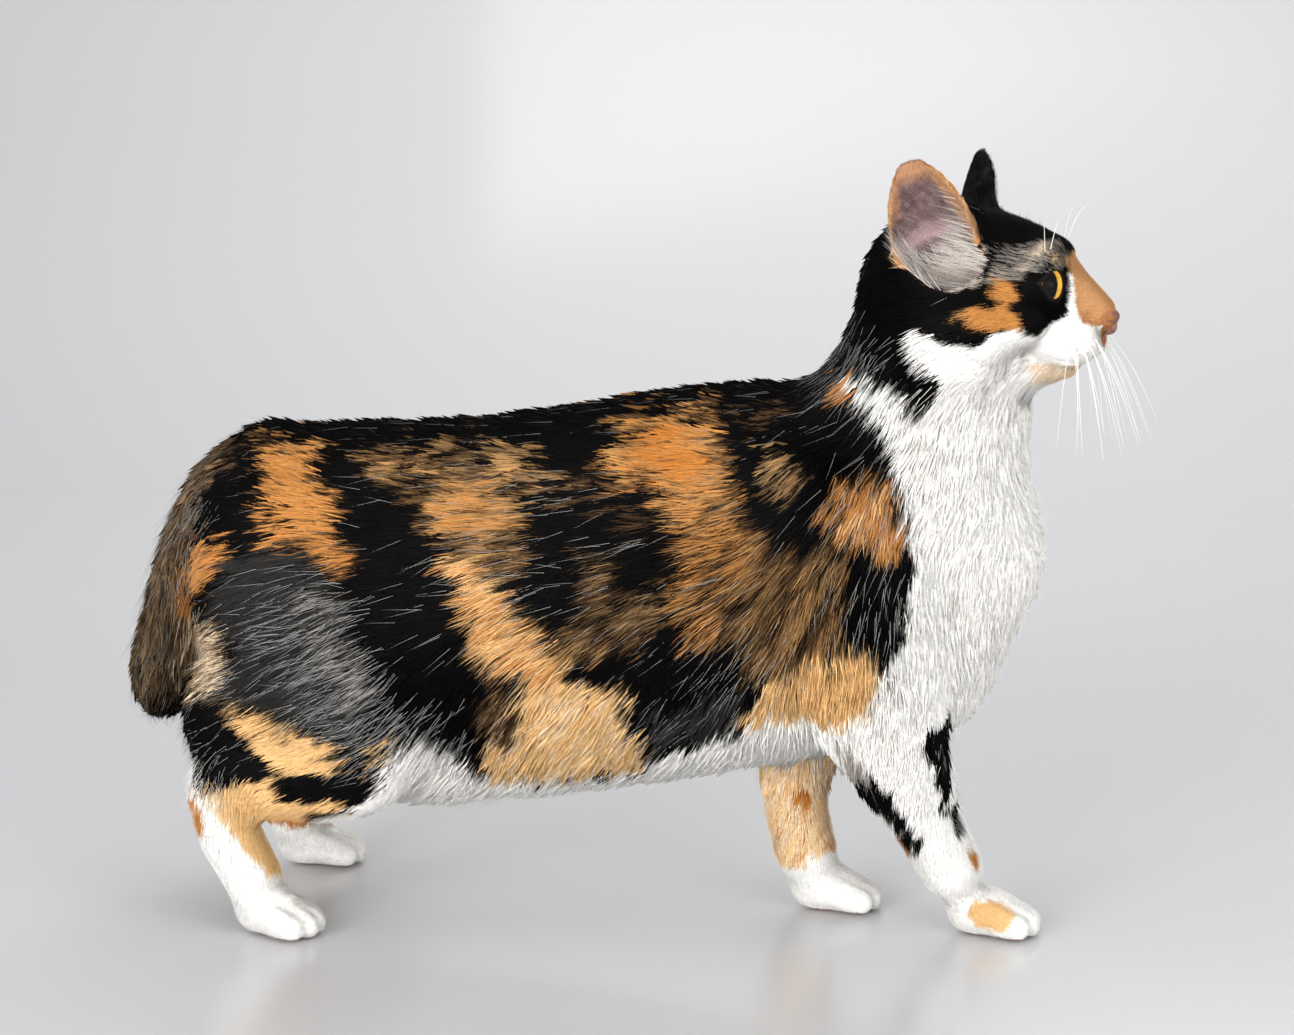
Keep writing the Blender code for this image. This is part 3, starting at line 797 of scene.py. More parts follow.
# The white bib's edge on each side: height, then how far forward it starts
BIB_RIGHT = ((60, 80), (92, 84), (98, 106), (108, 115), (123, 119), (130, 123), (141, 129), (159, 132),
             (172, 133), (184, 131), (197, 129), (208, 125), (216, 123), (224, 119), (234, 112), (241, 108),
             (247, 103), (250, 104), (262, 140), (300, 200))
BIB_LEFT = ((60, 84), (86, 96), (120, 112), (150, 120), (190, 116), (215, 122), (235, 130), (250, 138),
            (262, 150), (300, 200))
NECK_LOBE = ((127, 275), (131, 267), (140, 256), (141, 243), (132, 236), (123, 241), (113, 247), (100, 251),
             (90, 280))
BELLY_EDGE = ((-150, 40), (-100, 66), (-58, 64), (-52, 58), (12, 60), (18, 76), (56, 88), (70, 92),
              (110, 92))


def outline_distance(across, up, outline):
    """Distance to a closed outline in the side view, less than nought inside it."""
    corners = np.array(outline, float)
    found = np.full(len(across), np.inf)
    inside = np.zeros(len(across), bool)
    for (ax, az), (bx, bz) in zip(corners, np.roll(corners, -1, axis=0)):
        qx, qz = across - ax, up - az
        ex, ez = bx - ax, bz - az
        t = np.clip((qx * ex + qz * ez) / (ex * ex + ez * ez), 0.0, 1.0)
        found = np.minimum(found, np.hypot(qx - t * ex, qz - t * ez))
        if az != bz:
            inside ^= ((az > up) != (bz > up)) & (across < ax + qz * ex / ez)
    return np.where(inside, -found, found)


def near_outline(across, up, outline, reach=12.0):
    low, high = np.min(outline, axis=0) - reach, np.max(outline, axis=0) + reach
    return (across > low[0]) & (across < high[0]) & (up > low[1]) & (up < high[1])


def streaks(p, seed):
    """Noise drawn out along the lie of the coat: level on the back, steep on belly, shoulder and legs."""
    found = np.zeros(len(p))
    x, y, z = p.T
    steep = np.clip((165 - z) / 70, 0, 1) * np.clip((x + 125) / 60, 0, 1) + np.clip((x - 50) / 60, 0, 0.6)
    steep = np.clip(steep, 0, 1)
    for slope, weight in ((math.radians(9), 1 - steep), (math.radians(62), steep)):
        along = x * math.cos(slope) + z * math.sin(slope)
        across = z * math.cos(slope) - x * math.sin(slope)
        q = np.stack([along / 12.0, y / 4.0, across / 2.4], -1)
        found += weight * noise(q, 1.0, seed)
    return found


class Coat:
    """Colours laid one over another. Where a patch covers in part, each tuft draws its colour by chance."""

    def __init__(self, p, chance):
        self.p = p
        self.colour = np.tile(np.array(BLACK), (len(p), 1))
        self.chance = chance
        self.streaks = [streaks(p, seed) for seed in (11, 12, 13)]
        self.broad = streaks(p / 2.6, 15)
        self.layers = 0

    def lay(self, colour, share, where=None):
        some = share > 0.02
        where = np.flatnonzero(some) if where is None else where[some]
        self.layers += 1
        drawn = 0.34 * self.streaks[self.layers % 3][where] + 0.24 * self.broad[where]
        drawn += 0.42 * ((self.chance[where] + 0.38 * self.layers) % 1.0)
        cover = np.clip((share[some] - 0.5 - (drawn - 0.5) * 1.9) / 0.3 + 0.5, 0.0, 1.0)[:, None]
        self.colour[where] = self.colour[where] * (1 - cover) + np.array(colour) * cover

    def put(self, colour, share):
        share = np.clip(share, 0.0, 1.0)[:, None]
        self.colour = self.colour * (1 - share) + np.array(colour) * share


def soft_inside(distance, width):
    return np.clip(0.5 - distance / width, 0.0, 1.0)


def markings(p, share, chance):
    """The coat's colour at each point of the cat."""
    coat = Coat(p, chance)
    x, y, z = p.T
    wobble = ((coat.streaks[0] - 0.5) * 9.0 + (noise(p, 7.0, 3) - 0.5) * 5.0)
    right = y < 4 + wobble
    tail = soft_inside(chain(p, TAIL_PATCH) + wobble, 8.0)
    for colour, cover in ((BROWN, 0.6), (TICKED, 0.62), (TAUPE, 0.16)):
        coat.lay(colour, tail * cover)
    coat.lay(BLACK, tail * 0.3)
    for on_side, patches in ((right, RIGHT_PATCHES), (~right, LEFT_PATCHES)):
        for colours, outline in patches:
            near = np.flatnonzero(on_side & near_outline(x, z, outline))
            inside = soft_inside(outline_distance(x[near], z[near], outline) + wobble[near], 9.0)
            for colour, cover in colours:
                coat.lay(colour, inside * cover, near)

    edge = np.where(right, looked_up(z, BIB_RIGHT), looked_up(z, BIB_LEFT))
    lobe = outline_distance(x, z, NECK_LOBE)
    bib = soft_inside(np.maximum(edge - x, np.where(right, -lobe, -99)) + wobble, 6.0)
    coat.lay(WHITE, bib * 1.2 * ((z < 258) | (right & (x > 127) & (share["head"] < 0.6))))
    belly = looked_up(x, BELLY_EDGE)
    middle = 1 - np.clip((np.abs(y) - 30) / 30, 0, 1)
    below = soft_inside(z - belly - 10 * middle + wobble * 0.7, 8.0)
    coat.lay(WHITE, below * 1.15 * (x > -140) * (x < 110))
    leg_markings(coat, share, wobble)
    head_markings(coat, head_place(p), share)
    return coat.colour


# Patches on the legs: which leg, colour, the patch's places, how ragged its edge is, its softness and cover
LEG_PATCHES = (
    ("fore_right", BLACK, ((150, -40, 90, 12), (158, -36, 52, 9)), 0.6, 3, 1.2),
    ("fore_right", BLACK, ((112, -40, 66, 9), (128, -34, 38, 8)), 0.6, 3, 1.2),
    ("fore_right", GREY, ((101, -40, 82, 6), (108, -40, 74, 6)), 0.6, 4, 0.8),
    ("fore_right", ORANGE, ((162, -27, 34, 3.4), (164, -27, 30, 3)), 0.3, 2, 1.2),
    ("fore_right", ORANGE, ((128, -22, 42, 3.4), (132, -22, 34, 3)), 0.3, 2, 1.2),
    ("fore_right", APRICOT, ((165, -34, 12, 6), (173, -33, 10, 6.5)), 0.3, 2, 1.2),
)


def leg_markings(coat, share, wobble):
    x, _, z = coat.p.T
    on = {name: share[name] > 0.4 for name in LEG_BOXES}

    def below(name, colour, height, width, cover, rough=1.0):
        """Lays the colour on a leg from that height down."""
        coat.lay(colour, on[name] * soft_inside(z - height + wobble * rough, width) * cover)

    def spot(on_leg, colour, places, rough, width, cover):
        coat.lay(colour, on_leg * soft_inside(chain(coat.p, places) + wobble * rough, width) * cover)

    below("fore_right", WHITE, 88, 10.0, 1.2, 0.0)
    for name, *marks in LEG_PATCHES:
        spot(on[name], *marks)
    below("fore_left", APRICOT, 96, 5.0, 1.2)
    below("fore_left", CREAM, 96, 5.0, 0.55)
    below("fore_left", ORANGE, 60, 40.0, 0.22)
    spot(on["fore_left"], RUST, ((81, 2, 52, 4), (84, 2, 49, 4)), 0.4, 3, 0.8)
    below("fore_left", WHITE, 25 - (x < 84) * 6, 3.0, 1.2, 0.4)

    near = on["hind_right"]
    back = soft_inside(np.maximum(x + 146, z - 98) + wobble * 0.4, 4.0)
    coat.lay(BLACK, near * back * 1.2 * (x < -70 - z))
    shin = soft_inside(z - 64 - np.clip((x + 178) * 0.35, 0, 10) + wobble * 0.5, 3.0) * (x < -138)
    coat.lay(APRICOT, near * shin * 1.2)
    coat.lay(CREAM, near * shin * soft_inside(x + 172, 6.0) * 0.8)
    below("hind_right", WHITE, 42 - (x + 166) * 1.2, 3.0, 1.2 * (x < -150), 0.4)
    below("hind_right", WHITE, 24, 3.0, 1.2, 0.4)
    spot(near, ORANGE, ((-187, -56, 56, 5), (-184, -56, 46, 4)), 0.0, 3.0, 1.1)
    spot(1.0, BLACK, ((-142, -64, 70, 7), (-116, -64, 71, 8)), 0.6, 3.0, 1.2)
    below("hind_left", ORANGE, 70 + (x + 150) * 0.4, 6.0, 1.2, 1.8)
    below("hind_left", RUST, 44, 24.0, 0.5)
    below("hind_left", WHITE, 20, 3.0, 1.2, 0.4)


# Patches on the right of the face, in the head's axes, as outlines seen from the side
FACE_PATCHES = (
    (((GREY, 0.5), (CREAM, 0.12)), ((-2, 26), (8, 23), (18, 21), (30, 21), (42, 22), (49, 16), (47, 9),
     (37, 7), (26, 5), (16, 5), (6, 1), (0, 0), (-5, 8))),
    (((BLACK, 0.75),), ((14, 24), (24, 23), (24, 12), (16, 12))),
    (((GREY, 0.55), (CREAM, 0.3)), ((-8, 8), (0, 10), (10, 8), (14, 9), (13, 3), (4, 1), (-5, 3))),
    (((PEACH, 0.45),), ((41, 18), (46, 17), (47, 13), (42, 14))),
    (((ORANGE, 1.1),), ((20, 6), (28, 4), (29, -3), (26, -6), (30, -9), (31, -17), (19, -17), (10, -16),
     (6, -9), (11, -6), (19, -8), (23, -4), (18, -1))),
    (((TAN, 0.5),), ((4, -8), (10, -7), (9, -14), (3, -13))),
)
BRIDGE = ((48.5, 16), (60, 4), (68, -6), (72, -10), (70, -16), (60, -15.5), (54.5, -12), (51.5, -4),
          (50.5, 4), (49.5, 10))
BRIDGE_WHITE = ((49, -7), (48.5, 2), (49, 8), (50.5, 7), (51, 0), (52, -6), (55.5, -14))
FACE_WHITE = ((-60, -60), (-21, -50), (-16.5, -17), (-6, -20), (5, -24), (15, -24), (19, -19), (25, -17),
              (31, -18), (39, -20), (44, -15), (49, -11), (52, -5), (55, -6), (57, -12), (62, -16),
              (80, -18))
LIP_BROWN_HALF = 7.0
LIP_BROWN = ((59, -14), (74, -16), (74, -30), (63.5, -30), (61, -22))
CHIN = ((33, -32.5), (45, -33), (60, -32), (60, -44), (33, -44))


# Whiskers: root in the head's axes, then the tip's offset from it. Those on the lip are first
LIP_WHISKERS = 11
WHISKERS = (
    ((62, 14, -20), (22, 10, -40)),
    ((60, 16, -22), (19, 12, -44)),
    ((58, 17, -24), (12, 12, -46)),
    ((61, 15, -24), (16, 8, -46)),
    ((57, 18, -21), (15, 20, -38)),
    ((55, 19, -25), (7, 16, -44)),
    ((59, 16, -27), (10, 8, -44)),
    ((54, 19, -22), (8, 25, -34)),
    ((56, 18, -28), (3, 14, -40)),
    ((52, 19, -26), (0, 22, -38)),
    ((63, 12, -23), (20, 3, -44)),
    ((43, 18, 18), (8, 12, 16)),
    ((41, 20, 17), (2, 16, 15)),
)


# How far the ear's opening reaches to each side, by height up the ear
EAR_SPREAD = ((0, 14), (6, 16), (17, 15), (30, 10.5), (40, 6))

# How far out of the hollow the bare skin's colour reaches, by height up the ear
EAR_SKIN_REACH = ((0, 0.7), (8, 2.0))


def head_markings(coat, q, share):
    on_face = share["head"] + share["ear_right"] + share["ear_left"] > 0.5
    x, y, z = q.T
    right = y < 0
    wobble = ((noise(q, 5.0, 7) - 0.5) + (noise(q, 2.2, 9) - 0.5) * 0.8) * 3.4

    def drawn(outline, rough, width):
        return on_face * soft_inside(outline_distance(x, z, outline) + wobble * rough, width)

    for colours, outline in FACE_PATCHES:
        near = np.flatnonzero(on_face & right & near_outline(x, z, outline, 5.0))
        inside = soft_inside(outline_distance(x[near], z[near], outline) + wobble[near] * 0.6, 2.2)
        for colour, cover in colours:
            coat.lay(colour, inside * cover, near)
    cheek = soft_inside(chain(q, ((32, 24, 10, 6), (24, 32, 2, 8), (16, 38, -8, 8))) + wobble, 2.5)
    coat.lay(ORANGE, on_face * cheek * 1.1)
    line = looked_up(x, FACE_WHITE)
    coat.lay(WHITE, on_face * soft_inside(z - line + wobble * 0.6, 2.0) * 1.2)
    bridge = drawn(BRIDGE, 0.3, 1.5)
    coat.lay(BRIDGE_TAN, bridge * 1.2)
    coat.lay(LEATHER_TAN, bridge * soft_inside(z + 10, 8.0) * 0.7)
    coat.lay(WHITE, right * drawn(BRIDGE_WHITE, 0.3, 1.5) * 1.1)
    lip = np.maximum(outline_distance(x, z, LIP_BROWN), np.abs(y) - LIP_BROWN_HALF)
    coat.lay(LEATHER_TAN, on_face * soft_inside(lip + wobble * 0.3, 1.5))
    coat.lay(PEACH, drawn(CHIN, 0.6, 3.0) * 0.85)
    for side in (-1, 1):
        rim = lengths(q - mirrored(EYE_PLACE, side)) - EYE_RADIUS - LID_EDGE
        coat.put(BLACK, on_face * soft_inside(rim, 1.5) * (z < 9) * (x < 52))
        # Painted shade: a taupe line along each mouth groove, on the tufts and on the bare skin in it
        coat.put(TAUPE, on_face * soft_inside(mouth_groove(q, side, 0.5), 1.2) * 0.85)
        for root, _ in WHISKERS[:LIP_WHISKERS]:
            spot = lengths(q - mirrored(root, side)) - 1.0
            coat.put(TAUPE, on_face * soft_inside(spot, 1.0) * 0.5)
    for name, back in (("ear_right", ORANGE), ("ear_left", BLACK)):
        ears = share[name] > 0.4
        e = ear_space(q, name)
        coat.put(back, ears * 1.0)
        coat.lay(PEACH if name == "ear_right" else SMOKE_AND_SHEEN, ears * soft_inside(z - 50, 30.0) * 0.4)
        inner = soft_inside(ear_hollow(e, name) - looked_up(e[:, 2], EAR_SKIN_REACH), 0.8)
        cup = on_face * inner * (np.abs(e[:, 0]) < 26)
        coat.put(EAR_SKIN, cup)
        mottled = np.clip((e[:, 2] - 2) / 10, 0, 1) * (0.45 + 0.55 * noise(q, 2.4, 8))
        coat.put(EAR_DARK, cup * mottled)
        if name == "ear_right":
            spread = e[:, 0] / looked_up(e[:, 2], EAR_SPREAD)
            rim = np.clip((-spread - 0.62) / 0.2, 0, 1) * np.clip((e[:, 2] + 2) / 8, 0, 1)
            rim = np.maximum(rim, np.clip((e[:, 2] - 30) / 6, 0, 1))
            rim = np.maximum(rim, np.clip((spread - 0.7) / 0.2, 0, 1) * np.clip((e[:, 2] - 16) / 8, 0, 1))
            coat.put(EAR_RIM, cup * rim * 0.9)


# The lie of the coat

# How steeply the hair runs down on the trunk: by height, then what is added towards the chest, in degrees
LIE_BY_HEIGHT = ((60, 76), (90, 66), (120, 52), (150, 28), (180, 12), (230, 5))
LIE_AT_FRONT = ((35, 0), (60, 16), (88, 46), (120, 60))
LIE_AT_RUMP = ((-190, 55), (-168, 0))


def lie_of_coat(p, share):
    """Which way the hair runs at each point, before it is laid along the surface."""
    x, y, z = p.T
    n = len(p)
    lies = {}
    steep = looked_up(z, LIE_BY_HEIGHT) * np.interp(x, (-118, -60), (0.38, 1))
    steep += looked_up(x, LIE_AT_FRONT)
    steep = np.radians(np.minimum(steep + looked_up(x, LIE_AT_RUMP), 94))
    lies["trunk"] = np.stack([-np.cos(steep), np.zeros(n), -np.sin(steep)], -1)
    lies["neck"] = np.tile([-0.45, 0.0, -0.9], (n, 1))
    q = head_place(p)
    away = unit(q - np.array([76.0, 0.0, -12.0]))
    lies["head"] = (away + np.array([-0.5, 0.0, -0.1])) @ HEAD_AXES.T
    for name in EARS:
        e = ear_space(q, name)
        local = np.stack([0.02 * e[:, 0], np.full(n, 0.1), np.ones(n)], -1)
        lies[name] = local @ (HEAD_AXES @ ear_turn(name)).T
    lies["tail"] = np.stack([-0.15 - 0.6 * np.clip((z - 165) / 40, 0, 1), 0.01 * y, -np.ones(n)], -1)
    for name in LEG_BOXES:
        forward = turned(yaw=PAWS[name][1])[:, 0]
        on_paw = np.clip((20 - z) / 10, 0, 1)[:, None]
        down = np.tile([-0.12, 0.0, -1.0], (n, 1))
        if name.startswith("hind"):
            thigh = np.clip((z - 74) / 16, 0, 1)[:, None]
            shank = np.clip((x + 165) / 20, 0, 1)[:, None] * (1 - thigh)
            down = down + thigh * np.array([-1.2, 0, 0.3]) + shank * np.array([-0.8, 0, 0.5])
        lies[name] = down * (1 - on_paw) + on_paw * (forward + np.array([0, 0, -0.45]))
    return sum(lies[name] * part[:, None] for name, part in share.items())


# Tuft sizes: by part, by height on a leg, and by place along the head
PART_LENGTHS = {"trunk": 15.0, "neck": 15.0, "tail": 16.0, "ear_right": 3.2, "ear_left": 3.2}
PART_WIDTHS = {"trunk": 0.35, "neck": 0.34, "tail": 0.37, "ear_right": 0.36, "ear_left": 0.36}
LEG_LENGTHS = ((0, 3.2), (22, 4.2), (50, 6.5), (90, 11.0), (150, 15.0))
LEG_WIDTHS = ((0, 0.34), (50, 0.36), (120, 0.35))
HEAD_LENGTHS = ((-40, 12.0), (-10, 8.5), (10, 6.0), (30, 4.2), (48, 2.8), (62, 1.6))
HEAD_WIDTHS = ((-40, 0.55), (0, 0.42), (30, 0.32), (60, 0.24))
BELLY_EXTRA = 5.0
LONG_HAIR = 8.0


def tuft_sizes(p, share):
    length = by_part(p, share, LEG_LENGTHS, HEAD_LENGTHS, PART_LENGTHS)
    width = by_part(p, share, LEG_WIDTHS, HEAD_WIDTHS, PART_WIDTHS)
    belly = share["trunk"] * np.clip((95 - p[:, 2]) / 30, 0, 1)
    return length + BELLY_EXTRA * belly, width


def skin_frames(skin):
    """The skin's triangles: corners, normals, areas and their places on its unwrap."""
    mesh = skin.data
    index = read_array(mesh.polygons, "vertices", 3, np.int32)
    spots = read_array(mesh.uv_layers["OFBake"].data, "uv", 2)
    normals = read_array(mesh.vertex_normals, "vector", 3)
    triangle = design_corners(mesh)[index]
    area = lengths(np.cross(triangle[:, 1] - triangle[:, 0], triangle[:, 2] - triangle[:, 0])) / 2
    return index, triangle, area, normals, spots.reshape(-1, 3, 2)


BARE_SOLE = 1.2


def bare(p):
    """Where no tuft grows: eye openings, nose leather, the floor side of the feet and the ears' hollows."""
    q = head_place(p)
    found = p[:, 2] < BARE_SOLE
    for side in (-1, 1):
        e = eye_space(q, side)
        found |= (lengths(e) < EYE_RADIUS + LID_EDGE) & (eye_opening(e) < 0.4)
        found |= mouth_groove(q, side, 0.5) < 0.6
    found |= nose_distance(q.astype(np.float32)) < 0.5
    return found | (hollows(p.astype(np.float32)) < 0.5)


def scattered_roots(skin, coverage, wanted, seed):
    """Root places on the skin, with normals and unwrap places. wanted gives how thickly they grow there."""
    index, triangle, area, normals, spots = skin_frames(skin)
    middle = triangle.mean(1)
    share = shares(regions(middle.astype(np.float32)))
    length, width = tuft_sizes(middle, share)
    number = coverage * area / (0.5 * length * width) * wanted(middle, share, length)
    rng = np.random.default_rng(seed)
    total = int(number.sum())
    edges = np.cumsum(number)
    picks = np.searchsorted(edges, (np.arange(total) + rng.random(total)) * edges[-1] / total)
    picks = np.minimum(picks, len(area) - 1)
    a, b = rng.random((2, total))
    flip = a + b > 1
    a[flip], b[flip] = 1 - a[flip], 1 - b[flip]
    weight = np.stack([1 - a - b, a, b], -1)[..., None]
    root = (triangle[picks] * weight).sum(1)
    normal = unit((normals[index[picks]] * weight).sum(1))
    spot = (spots[picks] * weight).sum(1)
    return root, normal, spot, rng


def laid(points, normals, level):
    """Moves points along the normals until they lie that far from the coat's outline."""
    for _ in range(2):
        away = coat_distance(points) - level
        points = points + normals * np.clip(-away, -6, 6)[:, None]
    return points


BLADE_FACES = ((1, 2, 3), (2, 1, 0), (1, 3, 0), (3, 2, 0))
SPIKE_FACES = ((2, 1, 0), (0, 1, 3), (1, 2, 3), (2, 0, 3))
# Painted shade on the tufts' corners, as factors on the coat's colour: darkest at the root deep in the coat
# and lighter at the tip. A blade's corners are root, two waist corners and tip; a spike's are two sides,
# the ridge and the tip
BLADE_PAINTED_SHADE = (0.4, 0.75, 0.75, 1.2)
SPIKE_PAINTED_SHADE = (0.6, 0.7, 0.6, 1.2)
SKIN_SHADING = 0.78
PIECE_TRIANGLES = 196000
TUFT_PATCH = 0.0015
BRIGHTEST = 0.93


def soften(mesh, normal):
    """Leans the shading of each tuft towards that of the skin below it."""
    own = read_array(mesh.vertex_normals, "vector", 3)
    mesh.normals_split_custom_set_from_vertices(unit(own * (1 - SKIN_SHADING) + normal * SKIN_SHADING))


def tuft_pieces(name, corners, faces, painted_shades, colour, spot, normal):
    """Joins tufts into pieces, each under the triangle limit. Each tuft is a small patch on the unwrap."""
    n, per, _ = corners.shape
    pale = np.clip(colour.mean(1) / 0.8, 0, 1)[:, None]
    # Painted shade: each corner's colour times its factor, with less of it on pale coat
    shade = 1 - (1 - np.array(painted_shades)[None]) * (1 - 0.6 * pale)
    colours = np.clip(colour[:, None, :] * shade[:, :, None], 0, BRIGHTEST)
    face = np.array(faces)
    turn = np.arange(per) * 2 * math.pi / per
    patch = np.stack([np.cos(turn), np.sin(turn)], -1) * TUFT_PATCH
    order = np.argsort(corners[:, 0, 0], kind="stable")
    made = []
    pieces = max(1, math.ceil(n * len(face) / PIECE_TRIANGLES))
    for i, chunk in enumerate(np.array_split(order, pieces)):
        index = (face[None] + (np.arange(len(chunk)) * per)[:, None, None]).reshape(-1, 3)
        piece = plain_mesh(f"{name}_{i + 1}", to_row(corners[chunk].reshape(-1, 3)), index)
        set_colours(piece.data, colours[chunk].reshape(-1, 3))
        layer = piece.data.uv_layers.new(name="OFBake")
        uv = (spot[chunk][:, None, :] + patch[None]).reshape(-1, 2)[index.ravel()]
        layer.data.foreach_set("uv", uv.astype(np.float32).ravel())
        piece.data.materials.append(COAT_MATERIAL)
        soften(piece.data, np.repeat(normal[chunk], per, axis=0))
        made.append(piece)
    return made


def grown_tufts(name, roots, bladed=False, width_scale=1.0, length_scale=1.0, lift=0.0, stray=0.1,
                paint=None, raised=False):
    """Tufts that lie along the coat: blades widest past the root, or plain spikes."""
    root, normal, spot, rng = roots
    share = shares(regions(root.astype(np.float32)))
    length, width = tuft_sizes(root, share)
    n = len(root)
    length = length * length_scale * rng.uniform(0.7, 1.2, n)
    width = (width * width_scale * rng.uniform(0.75, 1.25, n))[:, None]
    flow = lie_of_coat(root, share)
    flow = unit(flow - normal * (flow * normal).sum(1)[:, None])
    swirl = (noise(root, 11.0, 21) - 0.5) * 0.5 + (noise(root, 3.6, 22) - 0.5) * 0.55
    swirl += rng.normal(0, stray, n)
    flow = unit(flow + np.cross(normal, flow) * swirl[:, None])
    side = np.cross(normal, flow)
    depth = coat_depth(root.astype(np.float32), share)
    relief = noise(root, 5.0, 23)
    level = -depth * (0.02 + 0.26 * relief + 0.1 * rng.random(n))
    level += lift * rng.uniform(0.0, 1.0, n) ** 2 + depth * 0.2 * (rng.random(n) > 0.93)
    reach, rise = flow * length[:, None], normal * depth[:, None]
    tip = laid(root + reach + rise, normal, level)
    keep = ~bare(tip) & ~bare(root) & (coat_distance(tip) < 0.4 + lift + 0.05 * length)
    seen = tip
    if bladed:
        waist = laid(root + reach * 0.35 + rise * 0.5, normal, level - depth * rng.uniform(0.22, 0.36, n))
        seen = waist * 0.5 + tip * 0.5
        rows = (root - normal * 0.3, waist + side * width / 2, waist - side * width / 2, tip)
    else:
        base = root - normal * 0.25
        if raised:
            base = laid(root + reach * 0.25 + rise, normal, -0.12 * depth)
        rows = (base + side * width / 2, base + normal * width * 0.35, base - side * width / 2, tip)
    corners = np.stack(rows, 1)
    a, b, c = (corners[:, i] - corners[:, 0] for i in (1, 2, 3))
    keep &= (np.cross(a, b) * c).sum(1) > 0
    corners = corners[keep]
    colour = np.tile(np.array(paint), (n, 1)) if paint else markings(seen, share, rng.random(n))
    colour = (colour * rng.uniform(0.9, 1.1, n)[:, None])[keep]
    faces, painted_shades = (BLADE_FACES, BLADE_PAINTED_SHADE) if bladed else (SPIKE_FACES, SPIKE_PAINTED_SHADE)
    return tuft_pieces(name, corners, faces, painted_shades, colour, spot[keep], normal[keep])


EAR_HAIR_COUNT = 900


def ear_hairs(skin):
    """Long pale hairs that cross each ear's hollow from its front and lower edge."""
    index, triangle, area, normals, spots = skin_frames(skin)
    middle = triangle.mean(1)
    rng = np.random.default_rng(5)
    corners, colour, spot, skinward = [], [], [], []
    for name in EARS:
        e = ear_space(head_space(middle), name)
        back = e[:, 0] * EAR_BACK[name]
        cup = np.abs(ear_hollow(e, name)) < 1.4
        likely = np.clip((14 - e[:, 2]) / 16, 0, 1) + 1.2 * (back < -7)
        likely *= cup * area * (e[:, 1] > -3) * (e[:, 2] < 32)
        picks = rng.choice(len(area), EAR_HAIR_COUNT, p=likely / likely.sum())
        root = middle[picks]
        n = len(picks)
        across = np.where(back[picks] < 0, 1.1, 0.25) * EAR_BACK[name] + rng.normal(0, 0.18, n)
        local = np.stack([across, rng.uniform(0.05, 0.4, n), np.ones(n) + rng.normal(0, 0.15, n)], -1)
        way = unit(local) @ (HEAD_AXES @ ear_turn(name)).T
        length = rng.uniform(9, 18, n) * np.where(e[picks, 2] > 14, 0.7, 1.0)
        tip = root + way * length[:, None]
        normal = unit(normals[index[picks, 0]])
        side = unit(np.cross(normal, way)) * 0.14
        base = root - normal * 0.2
        corners.append(np.stack([base + side, base + normal * 0.16, base - side, tip], 1))
        tint = np.array(EAR_HAIR if name == "ear_right" else GREY)
        colour.append(tint * rng.uniform(0.8, 1.15, n)[:, None])
        spot.append(spots[picks].mean(1))
        skinward.append(normal)
    corners, *rest = (np.concatenate(both) for both in (corners, colour, spot, skinward))
    return tuft_pieces("ear_hairs", corners, SPIKE_FACES, SPIKE_PAINTED_SHADE, *rest)


# Nose


def nose_distance(q):
    """Distance to the nose leather, in the head's axes."""
    leather = blob(q, (64.0, 0, -12.2), (6.4, 6.6, 4.2))
    return melt(leather, blob(q, (65.3, 0, -16.8), (4.2, 2.2, 3.6)), 2.0)


NOSE_SPLIT = ((70.8, 0, -9.6), (70.4, 0, -14.6), (69.3, 0, -19.6))
NOSE_BACK = 61.5
NOSE_MIDDLE, NOSE_HALF, NOSE_CELL = np.array([64.8, 0, -13.1]), (9, 10, 9), 0.32


def nose_surface(p):
    q = head_space(p.astype(np.float32))
    leather = nose_distance(q)
    for side in (-1, 1):
        leather = carve(leather, groove(q, [mirrored(point, side) for point in NOSTRIL], 0.9), 0.7)
    leather = carve(leather, groove(q, NOSE_SPLIT, 0.25), 0.7)
    return np.maximum(leather, NOSE_BACK - q[:, 0])


# Materials


def add(tree, kind, values=None, **settings):
    """A node of that kind with its settings and its inputs' values."""
    node = tree.nodes.new(kind)
    for setting, value in settings.items():
        setattr(node, setting, value)
    for name, value in (values or {}).items():
        node.inputs[name].default_value = value
    return node


def link(tree, *ends):
    """Links pairs of node and socket: each output to the input after it."""
    for i in range(0, len(ends), 4):
        source, output, target, entry = ends[i:i + 4]
        tree.links.new(source.outputs[output], target.inputs[entry])


def texture(tree, kind, scale=1.0):
    """A texture that keeps to the piece's own axes."""
    found = add(tree, kind, {"Scale": scale})
    link(tree, add(tree, "ShaderNodeTexCoord"), "Object", found, "Vector")
    return found


def ranged(tree, source, low, high, from_low=0.0, from_high=1.0):
    """The texture's strength, moved to run from low to high."""
    values = {"From Min": from_low, "From Max": from_high, "To Min": low, "To Max": high}
    found = add(tree, "ShaderNodeMapRange", values)
    link(tree, source, "Fac", found, "Value")
    return found


def darkened(tree, colour, output, by):
    """The colour times the strength that by puts out."""
    found = add(tree, "ShaderNodeMix", data_type="RGBA", blend_type="MULTIPLY")
    link(tree, colour, output, found, 6, by, "Result", found, 7)
    return found


def bump(tree, source, output, shader, strength, distance):
    relief = add(tree, "ShaderNodeBump", {"Strength": strength, "Distance": distance})
    link(tree, source, output, relief, "Height", relief, "Normal", shader, "Normal")


def new_material(name):
    material = bpy.data.materials.new(name)
    material.use_nodes = True
    tree = material.node_tree
    return material, tree, tree.nodes["Principled BSDF"]


